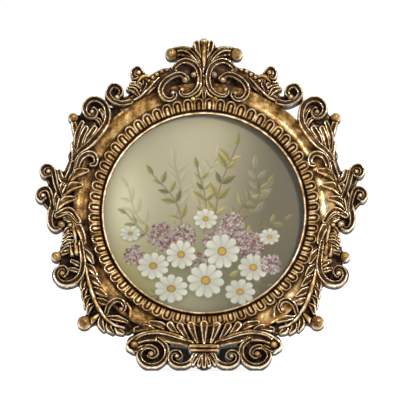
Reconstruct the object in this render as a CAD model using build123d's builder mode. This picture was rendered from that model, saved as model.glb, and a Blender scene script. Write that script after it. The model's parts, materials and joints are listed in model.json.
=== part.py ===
from build123d import *
from math import cos, pi, radians, sin, tan
import os

os.makedirs("parts", exist_ok=True)

# Driving dimensions, millimetres and degrees
lean = 12.0  # the frame leans back this far on its leg
sight_radius = 61.0  # edge of the picture that shows
overrun = 1.0  # how far a cut runs past a face

# Moulding ring
rabbet_lip = 3.5  # how far the lip covers the glass and its play
rabbet_depth = 7.4
bead_width = 1.8
bead_side_height = 9.4
bead_height = 10.6
quirk_width = 0.7
egg_band_width = 6.8
egg_crest_height = 13.4
cove_width = 8.8
cove_floor_height = 10.2
cove_floor_start_share = 0.25
cove_floor_end_share = 0.65
rim_width = 1.2
rim_height = 15.0

# Tongues on the slope of the egg band, with a dart's width left between each and the next
tongue_count = 64
tongue_arc_share = 0.76
tongue_nose = 1.8  # length of the rounded outer end
tongue_rise = 1.1

# Scrollwork, each kind of form at its own height over the flat back
leaf_height = 10.5  # leaves and the floors of the scrolls
stem_height = 13.0
scroll_height = 15.0
scroll_rib = 2.6
rib_foot = 1.0  # a rib starts this far inside the scroll's floor
scroll_sides = 11
scroll_steps = 5  # facets in half a turn of a rib
ball_height = 15.5
ball_draft = 5.0
ball_sides = 8
rest_depth = 5.6  # flat on which the bottom curls stand, front to back

# Glass, print and backing, in order from the front, with the play of each in the rabbet
glass_play = 1.0
glass_thickness = 2.0
print_play = 1.5
print_thickness = 0.3
card_thickness = 1.5
board_play = 0.8
board_thickness = 3.0
velvet_thickness = 0.5

# Swivel buttons and their screws
button_count = 4
button_setback = 6.0  # from the rabbet's edge out to the screw
button_hub_radius = 4.5
button_tip_radius = 3.0
button_reach = 12.5
button_thickness = 1.0
button_clearance = 0.2
screw_radius = 1.4
screw_length = 6.5
screw_head_radius = 2.7
screw_head_height = 1.1
screw_head_draft = 25.0
screw_play = 0.1
screw_slot_width = 0.6
screw_slot_depth = 0.5
running_clearance = 0.06
pilot_clearance = 0.02
fastener_sides = 8

# Easel hinge
hinge_edge_distance = 20.7  # from the board's top edge down to the hinge axis
hinge_width = 24.0
knuckle_radius = 2.4
pin_radius = 1.0
pin_stand_out = 0.4
knuckle_width = 11.4  # the middle knuckle, on the leg's leaf
knuckle_side_clearance = 0.3
knuckle_gap = 0.4  # knuckle to velvet
knuckle_sides = 12
leaf_thickness = 0.8
leaf_length = 13.0
leaf_corner = 2.0
rivet_spacing = 14.0
rivet_offset = 8.6
rivet_radius = 1.0
rivet_head_radius = 1.9
rivet_head_height = 0.6
rivet_head_draft = 20.0
rivet_grip = 1.6  # depth of the shank in the board or the leg

# Easel leg
leg_opening = 22.0
leg_top_width = 32.0
leg_foot_width = 50.0
leg_thickness = 2.9  # with its cover
leg_top_gap = 3.2
cover_thickness = 0.4

# Stay ribbon
ribbon_width = 10.0
ribbon_thickness = 0.3
ribbon_edge_distance = 6.7  # from where the ribbon leaves the board down to the board's edge
ribbon_board_tab = 12.0
ribbon_leg_tab = 7.0
ribbon_rivet_inset = 3.2
ribbon_head_height = 0.4

# Sawtooth hanger and its pins
hanger_setback = 8.5  # from the rabbet's edge up to the pins
hanger_length = 38.0
hanger_width = 8.0
hanger_thickness = 0.7
hanger_tab = 7.0
hanger_bow = 1.3
hanger_tooth_count = 9
hanger_tooth_pitch = 2.4
hanger_tooth_depth = 1.1
hanger_window_width = 4.2
nail_inset = 4.0
nail_radius = 0.8
nail_head_radius = 1.9
nail_head_height = 0.5
nail_length = 5.5

# The ornament of the left half, as shares of the sight radius: across from the centre line, up from the
# sight centre. The right half is its mirror image, drawn in a little beside the garland.
right_tuck_share = 0.055
tuck_down_rate = 0.8  # how fast it sets in going down from the top of the garland
tuck_start_share = 0.6  # and going out from here
tuck_out_rate = 2.5
base_reach_share = 1.59

# Scrolls: across, up, radius, then the angle where the rib starts, its hand and its half turns
scroll_eye_share = 0.42  # radius at a rib's end
rib_end_share = 0.7  # width there
lobe_shoulder_share = 0.5  # widest place of a lobe, from its root
scroll_shares = [
    (0.165, 1.285, 0.120, 55, -1, 2),
    (0.330, 1.255, 0.105, 60, 1, 2),
    (0.900, 1.200, 0.085, -60, -1, 2),
    (0.665, 1.400, 0.060, -50, -1, 0),
    (1.080, 1.055, 0.125, -35, 1, 2),
    (1.555, 0.415, 0.070, -20, 1, 0),
    (1.600, 0.180, 0.060, -10, 1, 0),
    (1.455, -0.095, 0.090, 160, 1, 2),
    (1.370, -0.620, 0.125, 15, -1, 2),
    (0.690, -1.320, 0.075, 70, 1, 0),
    (0.510, -1.465, 0.120, 60, -1, 2),
    (0.225, -1.490, 0.095, 15, -1, 2),
]

# Stems and ribbons: start, middle and end of an arc, then its width
stem_shares = [
    (0.33, 1.59, 0.17, 1.62, 0.03, 1.45, 0.090),
    (0.30, 1.47, 0.17, 1.54, 0.05, 1.38, 0.050),
    (0.19, 1.34, 0.30, 1.39, 0.42, 1.30, 0.050),
    (0.33, 1.44, 0.56, 1.31, 0.80, 1.11, 0.130),
    (0.58, 1.36, 0.63, 1.30, 0.64, 1.20, 0.060),
    (0.98, 0.93, 1.13, 0.72, 1.30, 0.54, 0.140),
    (1.32, 0.60, 1.39, 0.29, 1.50, 0.08, 0.130),
    (1.49, 0.09, 1.56, -0.05, 1.52, -0.17, 0.085),
    (1.51, 0.40, 1.49, 0.28, 1.42, 0.16, 0.060),
    (1.43, -0.05, 1.30, 0.00, 1.21, -0.14, 0.070),
    (1.34, -0.14, 1.22, -0.37, 1.22, -0.62, 0.120),
    (1.19, -0.44, 1.14, -0.78, 0.91, -1.14, 0.130),
    (1.16, -1.11, 1.06, -1.10, 0.98, -1.03, 0.080),
    (0.14, -1.31, 0.43, -1.22, 0.71, -1.27, 0.100),
]

# Leaf lobes: root, tip, then the width
lobe_shares = [
    (0.44, 1.36, 0.54, 1.45, 0.07),
    (1.16, 0.70, 1.19, 0.90, 0.08),
    (1.19, 0.70, 1.31, 1.01, 0.09),
    (1.18, 0.66, 1.35, 0.90, 0.09),
    (1.22, 0.58, 1.37, 0.72, 0.08),
    (1.33, -0.17, 1.42, -0.24, 0.08),
    (1.30, -0.25, 1.41, -0.32, 0.08),
    (1.14, -0.72, 1.23, -0.76, 0.09),
    (1.13, -0.84, 1.23, -0.86, 0.09),
    (1.09, -0.95, 1.21, -0.95, 0.09),
    (1.03, -1.04, 1.15, -1.01, 0.09),
    (0.36, -1.24, 0.52, -1.12, 0.10),
    (0.17, -1.28, 0.24, -1.13, 0.10),
    (0.02, -1.42, 0.085, -1.58, 0.08),
]

# Balls and buds: across, up, radius
ball_shares = [
    (0.330, 1.590, 0.060),
    (0.055, 1.700, 0.045),
    (1.310, 0.960, 0.050),
    (1.455, -0.455, 0.055),
    (1.190, -1.110, 0.075),
]

# Forms on the centre line: a leaf or band from one height to another, with its width
centre_lobe_shares = [(1.44, 1.76, 0.11), (-1.34, -1.12, 0.11)]
centre_band_shares = [(1.12, 1.52, 0.07), (-1.36, -1.61, 0.09)]
tie_shares = (-1.37, 0.30, 0.085)

# Planes: the face lies on the sight centre at the flat back, z towards the viewer
base_reach = base_reach_share * sight_radius
stand_height = base_reach - rest_depth * tan(radians(lean)) / cos(radians(lean))
face = Plane(
    origin=(
        0,
        rest_depth / 2 + stand_height * sin(radians(lean)),
        stand_height * cos(radians(lean)),
    ),
    x_dir=(1, 0, 0),
    z_dir=(0, -cos(radians(lean)), sin(radians(lean))),
)
section = Plane(origin=face.origin, x_dir=face.x_dir, z_dir=-face.y_dir)
sight_axis = Axis(face.origin, face.z_dir)

rabbet_radius = sight_radius + rabbet_lip
glass_radius = rabbet_radius - glass_play
print_radius = rabbet_radius - print_play
card_radius = print_radius
board_radius = rabbet_radius - board_play
button_circle_radius = rabbet_radius + button_setback
hanger_height = rabbet_radius + hanger_setback
hinge_height = board_radius - hinge_edge_distance
ribbon_reach = hinge_height + board_radius - ribbon_edge_distance
print_front = rabbet_depth - glass_thickness
card_front = print_front - print_thickness
board_front = card_front - card_thickness
velvet_front = board_front - board_thickness
velvet_back = velvet_front - velvet_thickness

# The hinge axis lies behind the velvet; the open leg hangs from it, y up the leg, z towards the board
pivot_drop = knuckle_gap + knuckle_radius
pivot = Plane(
    origin=face.origin + face.y_dir * hinge_height + face.z_dir * (velvet_back - pivot_drop),
    x_dir=face.x_dir,
    z_dir=face.z_dir,
)
leg_tilt = radians(leg_opening - lean)
leg = Plane(origin=pivot.origin, x_dir=(1, 0, 0), z_dir=(0, -cos(leg_tilt), -sin(leg_tilt)))
across = Plane(origin=pivot.origin, x_dir=pivot.y_dir, z_dir=(1, 0, 0))
leg_length = pivot.origin.Z / cos(leg_tilt)
leg_rear = leaf_thickness - knuckle_radius
leg_front = leg_rear + leg_thickness

# Rivets and pins: two in each hinge leaf, one at each end of the ribbon, two in the hanger
leaf_rivet_places = [(-rivet_spacing / 2, rivet_offset), (rivet_spacing / 2, rivet_offset)]
leg_rivet_places = [(x, -y) for x, y in leaf_rivet_places]
board_ribbon_rivet = (0, hinge_height - ribbon_reach + ribbon_board_tab - ribbon_rivet_inset)
leg_ribbon_rivet = (0, -ribbon_reach + ribbon_leg_tab - ribbon_rivet_inset)
board_rivet_places = [(x, y + hinge_height) for x, y in leaf_rivet_places] + [board_ribbon_rivet]
button_places = [
    (
        button_circle_radius * cos(2 * pi * (index + 0.5) / button_count),
        button_circle_radius * sin(2 * pi * (index + 0.5) / button_count),
    )
    for index in range(button_count)
]
nail_places = [
    (nail_inset - hanger_length / 2, hanger_height),
    (hanger_length / 2 - nail_inset, hanger_height),
]
hanger_middle = face.origin + face.y_dir * hanger_height
hanger_side = Plane(
    origin=hanger_middle - face.z_dir * hanger_thickness / 2, x_dir=face.x_dir, z_dir=-face.y_dir
)


def board_point(reach):
    """Where the ribbon's middle line lies on the board, as across and up on the YZ plane."""
    drop = face.z_dir * (velvet_back - ribbon_thickness / 2)
    point = face.origin + face.y_dir * (hinge_height - reach) + drop
    return (point.Y, point.Z)


def leg_point(reach):
    """Where the ribbon's middle line lies on the leg, as across and up on the YZ plane."""
    point = leg.origin - leg.y_dir * reach + leg.z_dir * (leg_front + ribbon_thickness / 2)
    return (point.Y, point.Z)


def placed(across_share, up_share, side):
    """A point of the ornament on the face, drawn in on the right half beside the garland."""
    tuck = 0
    if side > 0:
        down = min(1, max(0, (1 - up_share) * tuck_down_rate))
        out = min(1, max(0, (across_share - tuck_start_share) * tuck_out_rate))
        tuck = right_tuck_share * down * out
    return (side * across_share * (1 - tuck) * sight_radius, up_share * sight_radius)


def scroll(row, side, width):
    """A spiral rib that winds in and narrows at a steady rate."""
    across_share, up_share, radius_share, start, hand, half_turns = row
    x, y = placed(across_share, up_share, side)
    angle = start if side < 0 else 180 - start
    turn = hand if side < 0 else -hand
    steps = half_turns * scroll_steps
    outer, inner = [], []
    for index in range(steps + 1):
        radius = radius_share * sight_radius * (1 - (1 - scroll_eye_share) * index / steps)
        half_width = width / 2 * (1 - (1 - rib_end_share) * index / steps)
        way = radians(angle + turn * 180 * index / scroll_steps)
        outer.append((x + (radius + half_width) * cos(way), y + (radius + half_width) * sin(way)))
        inner.append((x + (radius - half_width) * cos(way), y + (radius - half_width) * sin(way)))
    with BuildLine() as outline:
        Polyline(*outer, *reversed(inner), close=True)
    make_face(outline.edges())


def stem(row, side):
    """A band of even width about an arc."""
    points = [Vector(placed(row[i], row[i + 1], side)) for i in (0, 2, 4)]
    arc = ThreePointArc(*points, mode=Mode.PRIVATE)
    half_share = row[6] * sight_radius / 2 / arc.radius
    inner = [point + (arc.arc_center - point) * half_share for point in points]
    outer = [point - (arc.arc_center - point) * half_share for point in points]
    with BuildLine() as outline:
        ThreePointArc(*inner)
        Line(inner[2], outer[2])
        ThreePointArc(*outer)
        Line(outer[0], inner[0])
    make_face(outline.edges())


def leaf(root, tip, width):
    """A pointed lobe, widest at its shoulder."""
    root, tip = Vector(root), Vector(tip)
    shoulder = root + (tip - root) * lobe_shoulder_share
    out = (tip - root).normalized().rotate(Axis.Z, 90) * width / 2
    with BuildLine() as outline:
        Polyline(root, shoulder - out, tip, shoulder + out, close=True)
    make_face(outline.edges())


def rounds(places, radius, side_count):
    """The same faceted disc at each place, its flats at the given radius."""
    with Locations(*places):
        RegularPolygon(radius, side_count, major_radius=False)


sides = (-1, 1)

# The casting: ring, egg band, then the scrollwork from its lowest level to its highest
with BuildPart() as frame_casting:
    bead_edge = sight_radius + bead_width
    egg_inner = bead_edge + quirk_width
    egg_outer = egg_inner + egg_band_width
    cove_outer = egg_outer + cove_width
    ring_radius = cove_outer + rim_width
    with BuildSketch(section):
        with BuildLine():
            Polyline(
                (sight_radius, rabbet_depth),
                (rabbet_radius, rabbet_depth),
                (rabbet_radius, 0),
                (ring_radius, 0),
                (ring_radius, rim_height),
                (cove_outer, rim_height),
                (egg_outer + cove_width * cove_floor_end_share, cove_floor_height),
                (egg_outer + cove_width * cove_floor_start_share, cove_floor_height),
                (egg_outer, egg_crest_height),
                (egg_inner, bead_side_height),
                (bead_edge, bead_side_height),
                (bead_edge - bead_width / 2, bead_height),
                (sight_radius, bead_side_height),
                close=True,
            )
        make_face()
    revolve(axis=sight_axis)

    # The tongues are short turns of one profile that sits on the slope
    slope = (egg_crest_height - bead_side_height) / egg_band_width
    for index in range(tongue_count):
        turn = 2 * pi * index / tongue_count
        outward = face.x_dir * cos(turn) + face.y_dir * sin(turn)
        with BuildSketch(Plane(origin=face.origin, x_dir=outward, z_dir=outward.cross(face.z_dir))):
            with BuildLine():
                Polyline(
                    (egg_inner, bead_side_height),
                    (egg_outer, bead_side_height),
                    (egg_outer, egg_crest_height + tongue_rise / 2),
                    (egg_outer - tongue_nose, egg_crest_height - slope * tongue_nose + tongue_rise),
                    (egg_inner, bead_side_height + tongue_rise / 2),
                    close=True,
                )
            make_face()
    revolve(axis=sight_axis, revolution_arc=tongue_arc_share * 360 / tongue_count)

    # Leaves and the floors of the scrolls are one plate; the stems, ribs and balls stand higher
    with BuildSketch(face):
        for side in sides:
            for row in scroll_shares:
                rounds([placed(row[0], row[1], side)], row[2] * sight_radius + scroll_rib / 2, scroll_sides)
            for row in lobe_shares:
                root, tip = placed(row[0], row[1], side), placed(row[2], row[3], side)
                leaf(root, tip, row[4] * sight_radius)
        for low_share, high_share, width_share in centre_lobe_shares:
            leaf((0, low_share * sight_radius), (0, high_share * sight_radius), width_share * sight_radius)
        with Locations((0, tie_shares[0] * sight_radius)):
            Rectangle(tie_shares[1] * sight_radius, tie_shares[2] * sight_radius)
    extrude(amount=leaf_height)
    with BuildSketch(face):
        for side in sides:
            for row in stem_shares:
                stem(row, side)
        for low_share, high_share, width_share in centre_band_shares:
            with Locations((0, (low_share + high_share) / 2 * sight_radius)):
                Rectangle(width_share * sight_radius, abs(high_share - low_share) * sight_radius)
    extrude(amount=stem_height)
    for side in sides:
        for row in scroll_shares:
            if row[-1] > 0:
                with BuildSketch(face.offset(leaf_height - rib_foot)):
                    scroll(row, side, scroll_rib)
    extrude(amount=scroll_height - leaf_height + rib_foot)
    with BuildSketch(face):
        for side in sides:
            for row in ball_shares:
                rounds([placed(row[0], row[1], side)], row[2] * sight_radius, ball_sides)
    extrude(amount=ball_height, taper=ball_draft)

    # Pilot holes for the button screws and the hanger pins, then the flat that stands on the table
    with BuildSketch(face):
        rounds(button_places, screw_radius + pilot_clearance, fastener_sides)
    extrude(amount=screw_length, mode=Mode.SUBTRACT)
    with BuildSketch(face):
        rounds(nail_places, nail_radius + pilot_clearance, fastener_sides)
    extrude(amount=nail_length, mode=Mode.SUBTRACT)
    split(bisect_by=Plane.XY, keep=Keep.TOP)
frame_casting.part.label = "frame_casting"
export_step(frame_casting.part, "parts/frame_casting.step")

# Glass, print and backing lie in the rabbet, face to face
with BuildPart() as glass_disc:
    with BuildSketch(face.offset(print_front)):
        Circle(glass_radius)
    extrude(amount=glass_thickness)
glass_disc.part.label = "glass_disc"
export_step(glass_disc.part, "parts/glass_disc.step")

with BuildPart() as photo_print:
    with BuildSketch(face.offset(card_front)):
        Circle(print_radius)
    extrude(amount=print_thickness)
photo_print.part.label = "photo_print"
export_step(photo_print.part, "parts/photo_print.step")

with BuildPart() as filler_card:
    with BuildSketch(face.offset(board_front)):
        Circle(card_radius)
    extrude(amount=card_thickness)
filler_card.part.label = "filler_card"
export_step(filler_card.part, "parts/filler_card.step")

with BuildPart() as back_board:
    with BuildSketch(face.offset(velvet_front)):
        Circle(board_radius)
    extrude(amount=board_thickness)
    with BuildSketch(face.offset(velvet_front)):
        rounds(board_rivet_places, rivet_radius + pilot_clearance, fastener_sides)
    extrude(amount=rivet_grip, mode=Mode.SUBTRACT)
back_board.part.label = "back_board"
export_step(back_board.part, "parts/back_board.step")

with BuildPart() as velvet_cover:
    with BuildSketch(face.offset(velvet_back)):
        Circle(board_radius)
    extrude(amount=velvet_thickness)
    with BuildSketch(face.offset(velvet_back)):
        rounds(board_rivet_places, rivet_radius + pilot_clearance, fastener_sides)
    extrude(amount=velvet_thickness, mode=Mode.SUBTRACT)
velvet_cover.part.label = "velvet_cover"
export_step(velvet_cover.part, "parts/velvet_cover.step")

# Swivel buttons point at the sight centre and hold the board in
button_back = -button_clearance - button_thickness
for index in range(button_count):
    turn = 2 * pi * (index + 0.5) / button_count
    outward = face.x_dir * cos(turn) + face.y_dir * sin(turn)
    seat = Plane(origin=face.origin + outward * button_circle_radius, x_dir=outward, z_dir=face.z_dir)
    with BuildPart() as turn_button:
        with BuildSketch(seat.offset(button_back)):
            rounds([(0, 0)], button_hub_radius, fastener_sides)
            rounds([(button_tip_radius - button_reach, 0)], button_tip_radius, fastener_sides)
            make_hull()
        extrude(amount=button_thickness)
        with BuildSketch(seat.offset(button_back)):
            rounds([(0, 0)], screw_radius / cos(pi / fastener_sides) + running_clearance, fastener_sides)
        extrude(amount=button_thickness, mode=Mode.SUBTRACT)
    turn_button.part.label = f"turn_button_{index + 1}"
    export_step(turn_button.part, f"parts/turn_button_{index + 1}.step")

with BuildPart() as button_screws:
    head_seat = face.offset(button_back - screw_play)
    with BuildSketch(head_seat):
        rounds(button_places, screw_radius, fastener_sides)
    extrude(amount=screw_length)
    with BuildSketch(head_seat):
        rounds(button_places, screw_head_radius, fastener_sides)
    extrude(amount=-screw_head_height, taper=screw_head_draft)
    with BuildSketch(head_seat.offset(-screw_head_height)):
        with Locations(*button_places):
            Rectangle(2 * screw_head_radius + overrun, screw_slot_width)
    extrude(amount=screw_slot_depth, mode=Mode.SUBTRACT)
button_screws.part.label = "button_screws"
export_step(button_screws.part, "parts/button_screws.step")

# Hinge: the board's leaf has the outer knuckles, the leg's leaf the middle one
with BuildPart() as hinge_leaf_board:
    notch_width = knuckle_width + 2 * knuckle_side_clearance
    with BuildSketch(pivot.offset(pivot_drop - leaf_thickness)):
        with Locations((0, leaf_length / 2)):
            Rectangle(hinge_width, leaf_length)
        fillet(vertices().group_by(Axis.Y)[-1], leaf_corner)
        Rectangle(notch_width, 2 * (knuckle_radius + knuckle_gap), mode=Mode.SUBTRACT)
    extrude(amount=leaf_thickness)
    with BuildSketch(pivot.offset(pivot_drop - leaf_thickness)):
        rounds(leaf_rivet_places, rivet_radius + pilot_clearance, fastener_sides)
    extrude(amount=leaf_thickness, mode=Mode.SUBTRACT)
    for side in sides:
        with BuildSketch(across.offset(side * notch_width / 2)):
            RegularPolygon(knuckle_radius, knuckle_sides)
        extrude(amount=side * (hinge_width - notch_width) / 2)
    with BuildSketch(across):
        RegularPolygon(pin_radius + pilot_clearance, knuckle_sides, major_radius=False)
    extrude(amount=hinge_width, both=True, mode=Mode.SUBTRACT)
hinge_leaf_board.part.label = "hinge_leaf_board"
export_step(hinge_leaf_board.part, "parts/hinge_leaf_board.step")

with BuildPart() as hinge_pin:
    with BuildSketch(across):
        Circle(pin_radius)
    extrude(amount=hinge_width / 2 + pin_stand_out, both=True)
hinge_pin.part.label = "hinge_pin"
export_step(hinge_pin.part, "parts/hinge_pin.step")

with BuildPart() as hinge_rivets_board:
    with BuildSketch(pivot.offset(pivot_drop - leaf_thickness)):
        rounds(leaf_rivet_places, rivet_head_radius, fastener_sides)
    extrude(amount=-rivet_head_height, taper=rivet_head_draft)
    with BuildSketch(pivot.offset(pivot_drop - leaf_thickness)):
        rounds(leaf_rivet_places, rivet_radius, fastener_sides)
    extrude(amount=leaf_thickness + velvet_thickness + rivet_grip)
hinge_rivets_board.part.label = "hinge_rivets_board"
export_step(hinge_rivets_board.part, "parts/hinge_rivets_board.step")

with BuildPart() as hinge_leaf_leg:
    with BuildSketch(leg.offset(-knuckle_radius)):
        with Locations((0, -(leaf_length + leg_top_gap) / 2)):
            Rectangle(hinge_width, leaf_length - leg_top_gap)
        fillet(vertices().group_by(Axis.Y)[0], leaf_corner)
        with Locations((0, -leaf_length / 4)):
            Rectangle(knuckle_width, leaf_length / 2)
    extrude(amount=leaf_thickness)
    with BuildSketch(leg.offset(-knuckle_radius)):
        rounds(leg_rivet_places, rivet_radius + pilot_clearance, fastener_sides)
    extrude(amount=leaf_thickness, mode=Mode.SUBTRACT)
    with BuildSketch(across):
        RegularPolygon(knuckle_radius, knuckle_sides)
    extrude(amount=knuckle_width / 2, both=True)
    with BuildSketch(across):
        RegularPolygon(pin_radius + running_clearance, knuckle_sides, major_radius=False)
    extrude(amount=hinge_width, both=True, mode=Mode.SUBTRACT)
hinge_leaf_leg.part.label = "hinge_leaf_leg"
export_step(hinge_leaf_leg.part, "parts/hinge_leaf_leg.step")

with BuildPart() as hinge_rivets_leg:
    with BuildSketch(leg.offset(-knuckle_radius)):
        rounds(leg_rivet_places, rivet_head_radius, fastener_sides)
    extrude(amount=-rivet_head_height, taper=rivet_head_draft)
    with BuildSketch(leg.offset(-knuckle_radius)):
        rounds(leg_rivet_places, rivet_radius, fastener_sides)
    extrude(amount=leaf_thickness + cover_thickness + rivet_grip)
hinge_rivets_leg.part.label = "hinge_rivets_leg"
export_step(hinge_rivets_leg.part, "parts/hinge_rivets_leg.step")


def leg_slab(inset):
    """The leg's outline drawn in by an inset, from its rear face to its front face."""
    with BuildSketch(leg.offset(leg_rear + inset)) as outline:
        with BuildLine() as edges:
            Polyline(
                (leg_top_width / 2 - inset, -leg_top_gap),
                (-leg_top_width / 2 + inset, -leg_top_gap),
                (-leg_foot_width / 2 + inset, -leg_length - leg_thickness),
                (leg_foot_width / 2 - inset, -leg_length - leg_thickness),
                close=True,
            )
        make_face(edges.edges())
    extrude(outline.sketch, amount=leg_thickness - 2 * inset)


# The leg's stiff core, and the velvet wrapped round all of it but the top edge
with BuildPart() as easel_leg:
    leg_slab(cover_thickness)
    split(bisect_by=Plane.XY.offset(cover_thickness), keep=Keep.TOP)
    with BuildSketch(leg.offset(leg_rear)):
        rounds(leg_rivet_places, rivet_radius + pilot_clearance, fastener_sides)
    extrude(amount=cover_thickness + rivet_grip, mode=Mode.SUBTRACT)
    with BuildSketch(leg.offset(leg_front)):
        rounds([leg_ribbon_rivet], rivet_radius + pilot_clearance, fastener_sides)
    extrude(amount=-cover_thickness - rivet_grip, mode=Mode.SUBTRACT)
easel_leg.part.label = "easel_leg"
export_step(easel_leg.part, "parts/easel_leg.step")

with BuildPart() as leg_cover:
    leg_slab(0)
    split(bisect_by=Plane.XY, keep=Keep.TOP)
    with BuildSketch(leg.offset(leg_rear)):
        rounds(leg_rivet_places, rivet_radius + pilot_clearance, fastener_sides)
    extrude(amount=cover_thickness, mode=Mode.SUBTRACT)
    with BuildSketch(leg.offset(leg_front)):
        rounds([leg_ribbon_rivet], rivet_radius + pilot_clearance, fastener_sides)
    extrude(amount=-cover_thickness, mode=Mode.SUBTRACT)
    with BuildPart(mode=Mode.PRIVATE) as core_space:
        leg_slab(cover_thickness)
        split(bisect_by=Plane.XY.offset(cover_thickness), keep=Keep.TOP)
    add(core_space.part, mode=Mode.SUBTRACT)
leg_cover.part.label = "leg_cover"
export_step(leg_cover.part, "parts/leg_cover.step")

# The ribbon is flat on the board and on the leg, and drawn tight between them
with BuildPart() as stay_ribbon:
    with BuildSketch(Plane.YZ):
        with BuildLine() as run:
            Polyline(
                board_point(ribbon_reach - ribbon_board_tab),
                board_point(ribbon_reach),
                leg_point(ribbon_reach),
                leg_point(ribbon_reach - ribbon_leg_tab),
            )
            offset(amount=ribbon_thickness / 2, kind=Kind.INTERSECTION)
        make_face()
    extrude(amount=ribbon_width / 2, both=True)
    with BuildSketch(face.offset(velvet_back)):
        rounds([board_ribbon_rivet], rivet_radius + pilot_clearance, fastener_sides)
    extrude(amount=-ribbon_thickness, mode=Mode.SUBTRACT)
    with BuildSketch(leg.offset(leg_front)):
        rounds([leg_ribbon_rivet], rivet_radius + pilot_clearance, fastener_sides)
    extrude(amount=ribbon_thickness, mode=Mode.SUBTRACT)
stay_ribbon.part.label = "stay_ribbon"
export_step(stay_ribbon.part, "parts/stay_ribbon.step")

with BuildPart() as ribbon_rivet_board:
    with BuildSketch(face.offset(velvet_back - ribbon_thickness)):
        rounds([board_ribbon_rivet], rivet_head_radius, fastener_sides)
    extrude(amount=-ribbon_head_height, taper=rivet_head_draft)
    with BuildSketch(face.offset(velvet_back - ribbon_thickness)):
        rounds([board_ribbon_rivet], rivet_radius, fastener_sides)
    extrude(amount=ribbon_thickness + velvet_thickness + rivet_grip)
ribbon_rivet_board.part.label = "ribbon_rivet_board"
export_step(ribbon_rivet_board.part, "parts/ribbon_rivet_board.step")

with BuildPart() as ribbon_rivet_leg:
    with BuildSketch(leg.offset(leg_front + ribbon_thickness)):
        rounds([leg_ribbon_rivet], rivet_head_radius, fastener_sides)
    extrude(amount=ribbon_head_height, taper=rivet_head_draft)
    with BuildSketch(leg.offset(leg_front + ribbon_thickness)):
        rounds([leg_ribbon_rivet], rivet_radius, fastener_sides)
    extrude(amount=-ribbon_thickness - cover_thickness - rivet_grip)
ribbon_rivet_leg.part.label = "ribbon_rivet_leg"
export_step(ribbon_rivet_leg.part, "parts/ribbon_rivet_leg.step")

# Sawtooth hanger: end tabs flat on the casting, the toothed bar bowed off it
with BuildPart() as sawtooth_hanger:
    with BuildSketch(hanger_side):
        with BuildLine() as bow:
            Polyline(
                (-hanger_length / 2, 0),
                (-hanger_length / 2 + hanger_tab, 0),
                (-hanger_length / 2 + hanger_tab + hanger_bow, -hanger_bow),
                (hanger_length / 2 - hanger_tab - hanger_bow, -hanger_bow),
                (hanger_length / 2 - hanger_tab, 0),
                (hanger_length / 2, 0),
            )
            offset(amount=hanger_thickness / 2, kind=Kind.INTERSECTION)
        make_face()
    extrude(amount=hanger_width / 2, both=True)
    with BuildSketch(face):
        rounds(nail_places, nail_radius + pilot_clearance, fastener_sides)
    extrude(amount=-hanger_thickness, mode=Mode.SUBTRACT)
    with BuildSketch(Plane(origin=hanger_middle, x_dir=face.x_dir, z_dir=face.z_dir)):
        teeth_left = -hanger_tooth_count * hanger_tooth_pitch / 2
        with BuildLine():
            Polyline(
                (-teeth_left, hanger_window_width / 2),
                (-teeth_left, -hanger_window_width / 2),
                (teeth_left, -hanger_window_width / 2),
                (teeth_left, hanger_window_width / 2),
            )
            for index in range(hanger_tooth_count):
                left = teeth_left + index * hanger_tooth_pitch
                Polyline(
                    (left, hanger_window_width / 2),
                    (left + hanger_tooth_pitch / 2, hanger_window_width / 2 - hanger_tooth_depth),
                    (left + hanger_tooth_pitch, hanger_window_width / 2),
                )
        make_face()
    extrude(amount=-hanger_bow - hanger_thickness - overrun, mode=Mode.SUBTRACT)
sawtooth_hanger.part.label = "sawtooth_hanger"
export_step(sawtooth_hanger.part, "parts/sawtooth_hanger.step")

with BuildPart() as hanger_nails:
    with BuildSketch(face.offset(-hanger_thickness)):
        rounds(nail_places, nail_head_radius, fastener_sides)
    extrude(amount=-nail_head_height, taper=rivet_head_draft)
    with BuildSketch(face.offset(-hanger_thickness)):
        rounds(nail_places, nail_radius, fastener_sides)
    extrude(amount=hanger_thickness + nail_length)
hanger_nails.part.label = "hanger_nails"
export_step(hanger_nails.part, "parts/hanger_nails.step")
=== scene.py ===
import json
import math

import bpy
import numpy as np
from mathutils import Matrix, Vector


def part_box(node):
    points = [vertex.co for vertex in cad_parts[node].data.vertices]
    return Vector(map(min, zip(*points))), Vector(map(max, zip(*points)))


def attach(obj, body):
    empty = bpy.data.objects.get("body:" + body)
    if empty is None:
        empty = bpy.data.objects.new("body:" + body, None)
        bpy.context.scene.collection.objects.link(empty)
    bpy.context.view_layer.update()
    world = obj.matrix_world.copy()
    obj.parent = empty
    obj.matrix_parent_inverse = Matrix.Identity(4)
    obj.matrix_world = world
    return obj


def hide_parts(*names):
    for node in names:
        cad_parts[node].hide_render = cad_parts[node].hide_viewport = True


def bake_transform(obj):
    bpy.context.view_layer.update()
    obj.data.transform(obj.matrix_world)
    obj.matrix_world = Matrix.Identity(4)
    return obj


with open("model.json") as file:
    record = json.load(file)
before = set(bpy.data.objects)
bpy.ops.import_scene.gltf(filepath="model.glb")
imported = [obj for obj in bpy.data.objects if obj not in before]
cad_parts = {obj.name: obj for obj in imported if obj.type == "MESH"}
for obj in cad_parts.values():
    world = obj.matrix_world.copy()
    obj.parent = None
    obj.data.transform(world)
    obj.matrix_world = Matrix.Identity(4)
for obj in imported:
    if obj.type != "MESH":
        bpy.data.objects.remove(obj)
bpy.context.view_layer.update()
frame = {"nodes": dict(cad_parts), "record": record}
print("frame loaded")

mm = 0.001
sightRadius = 61.0  # mm
hundredth = sightRadius / 100  # the ornament is drawn in these, out and up from the sight centre
leanAngle = math.radians(12)

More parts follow.
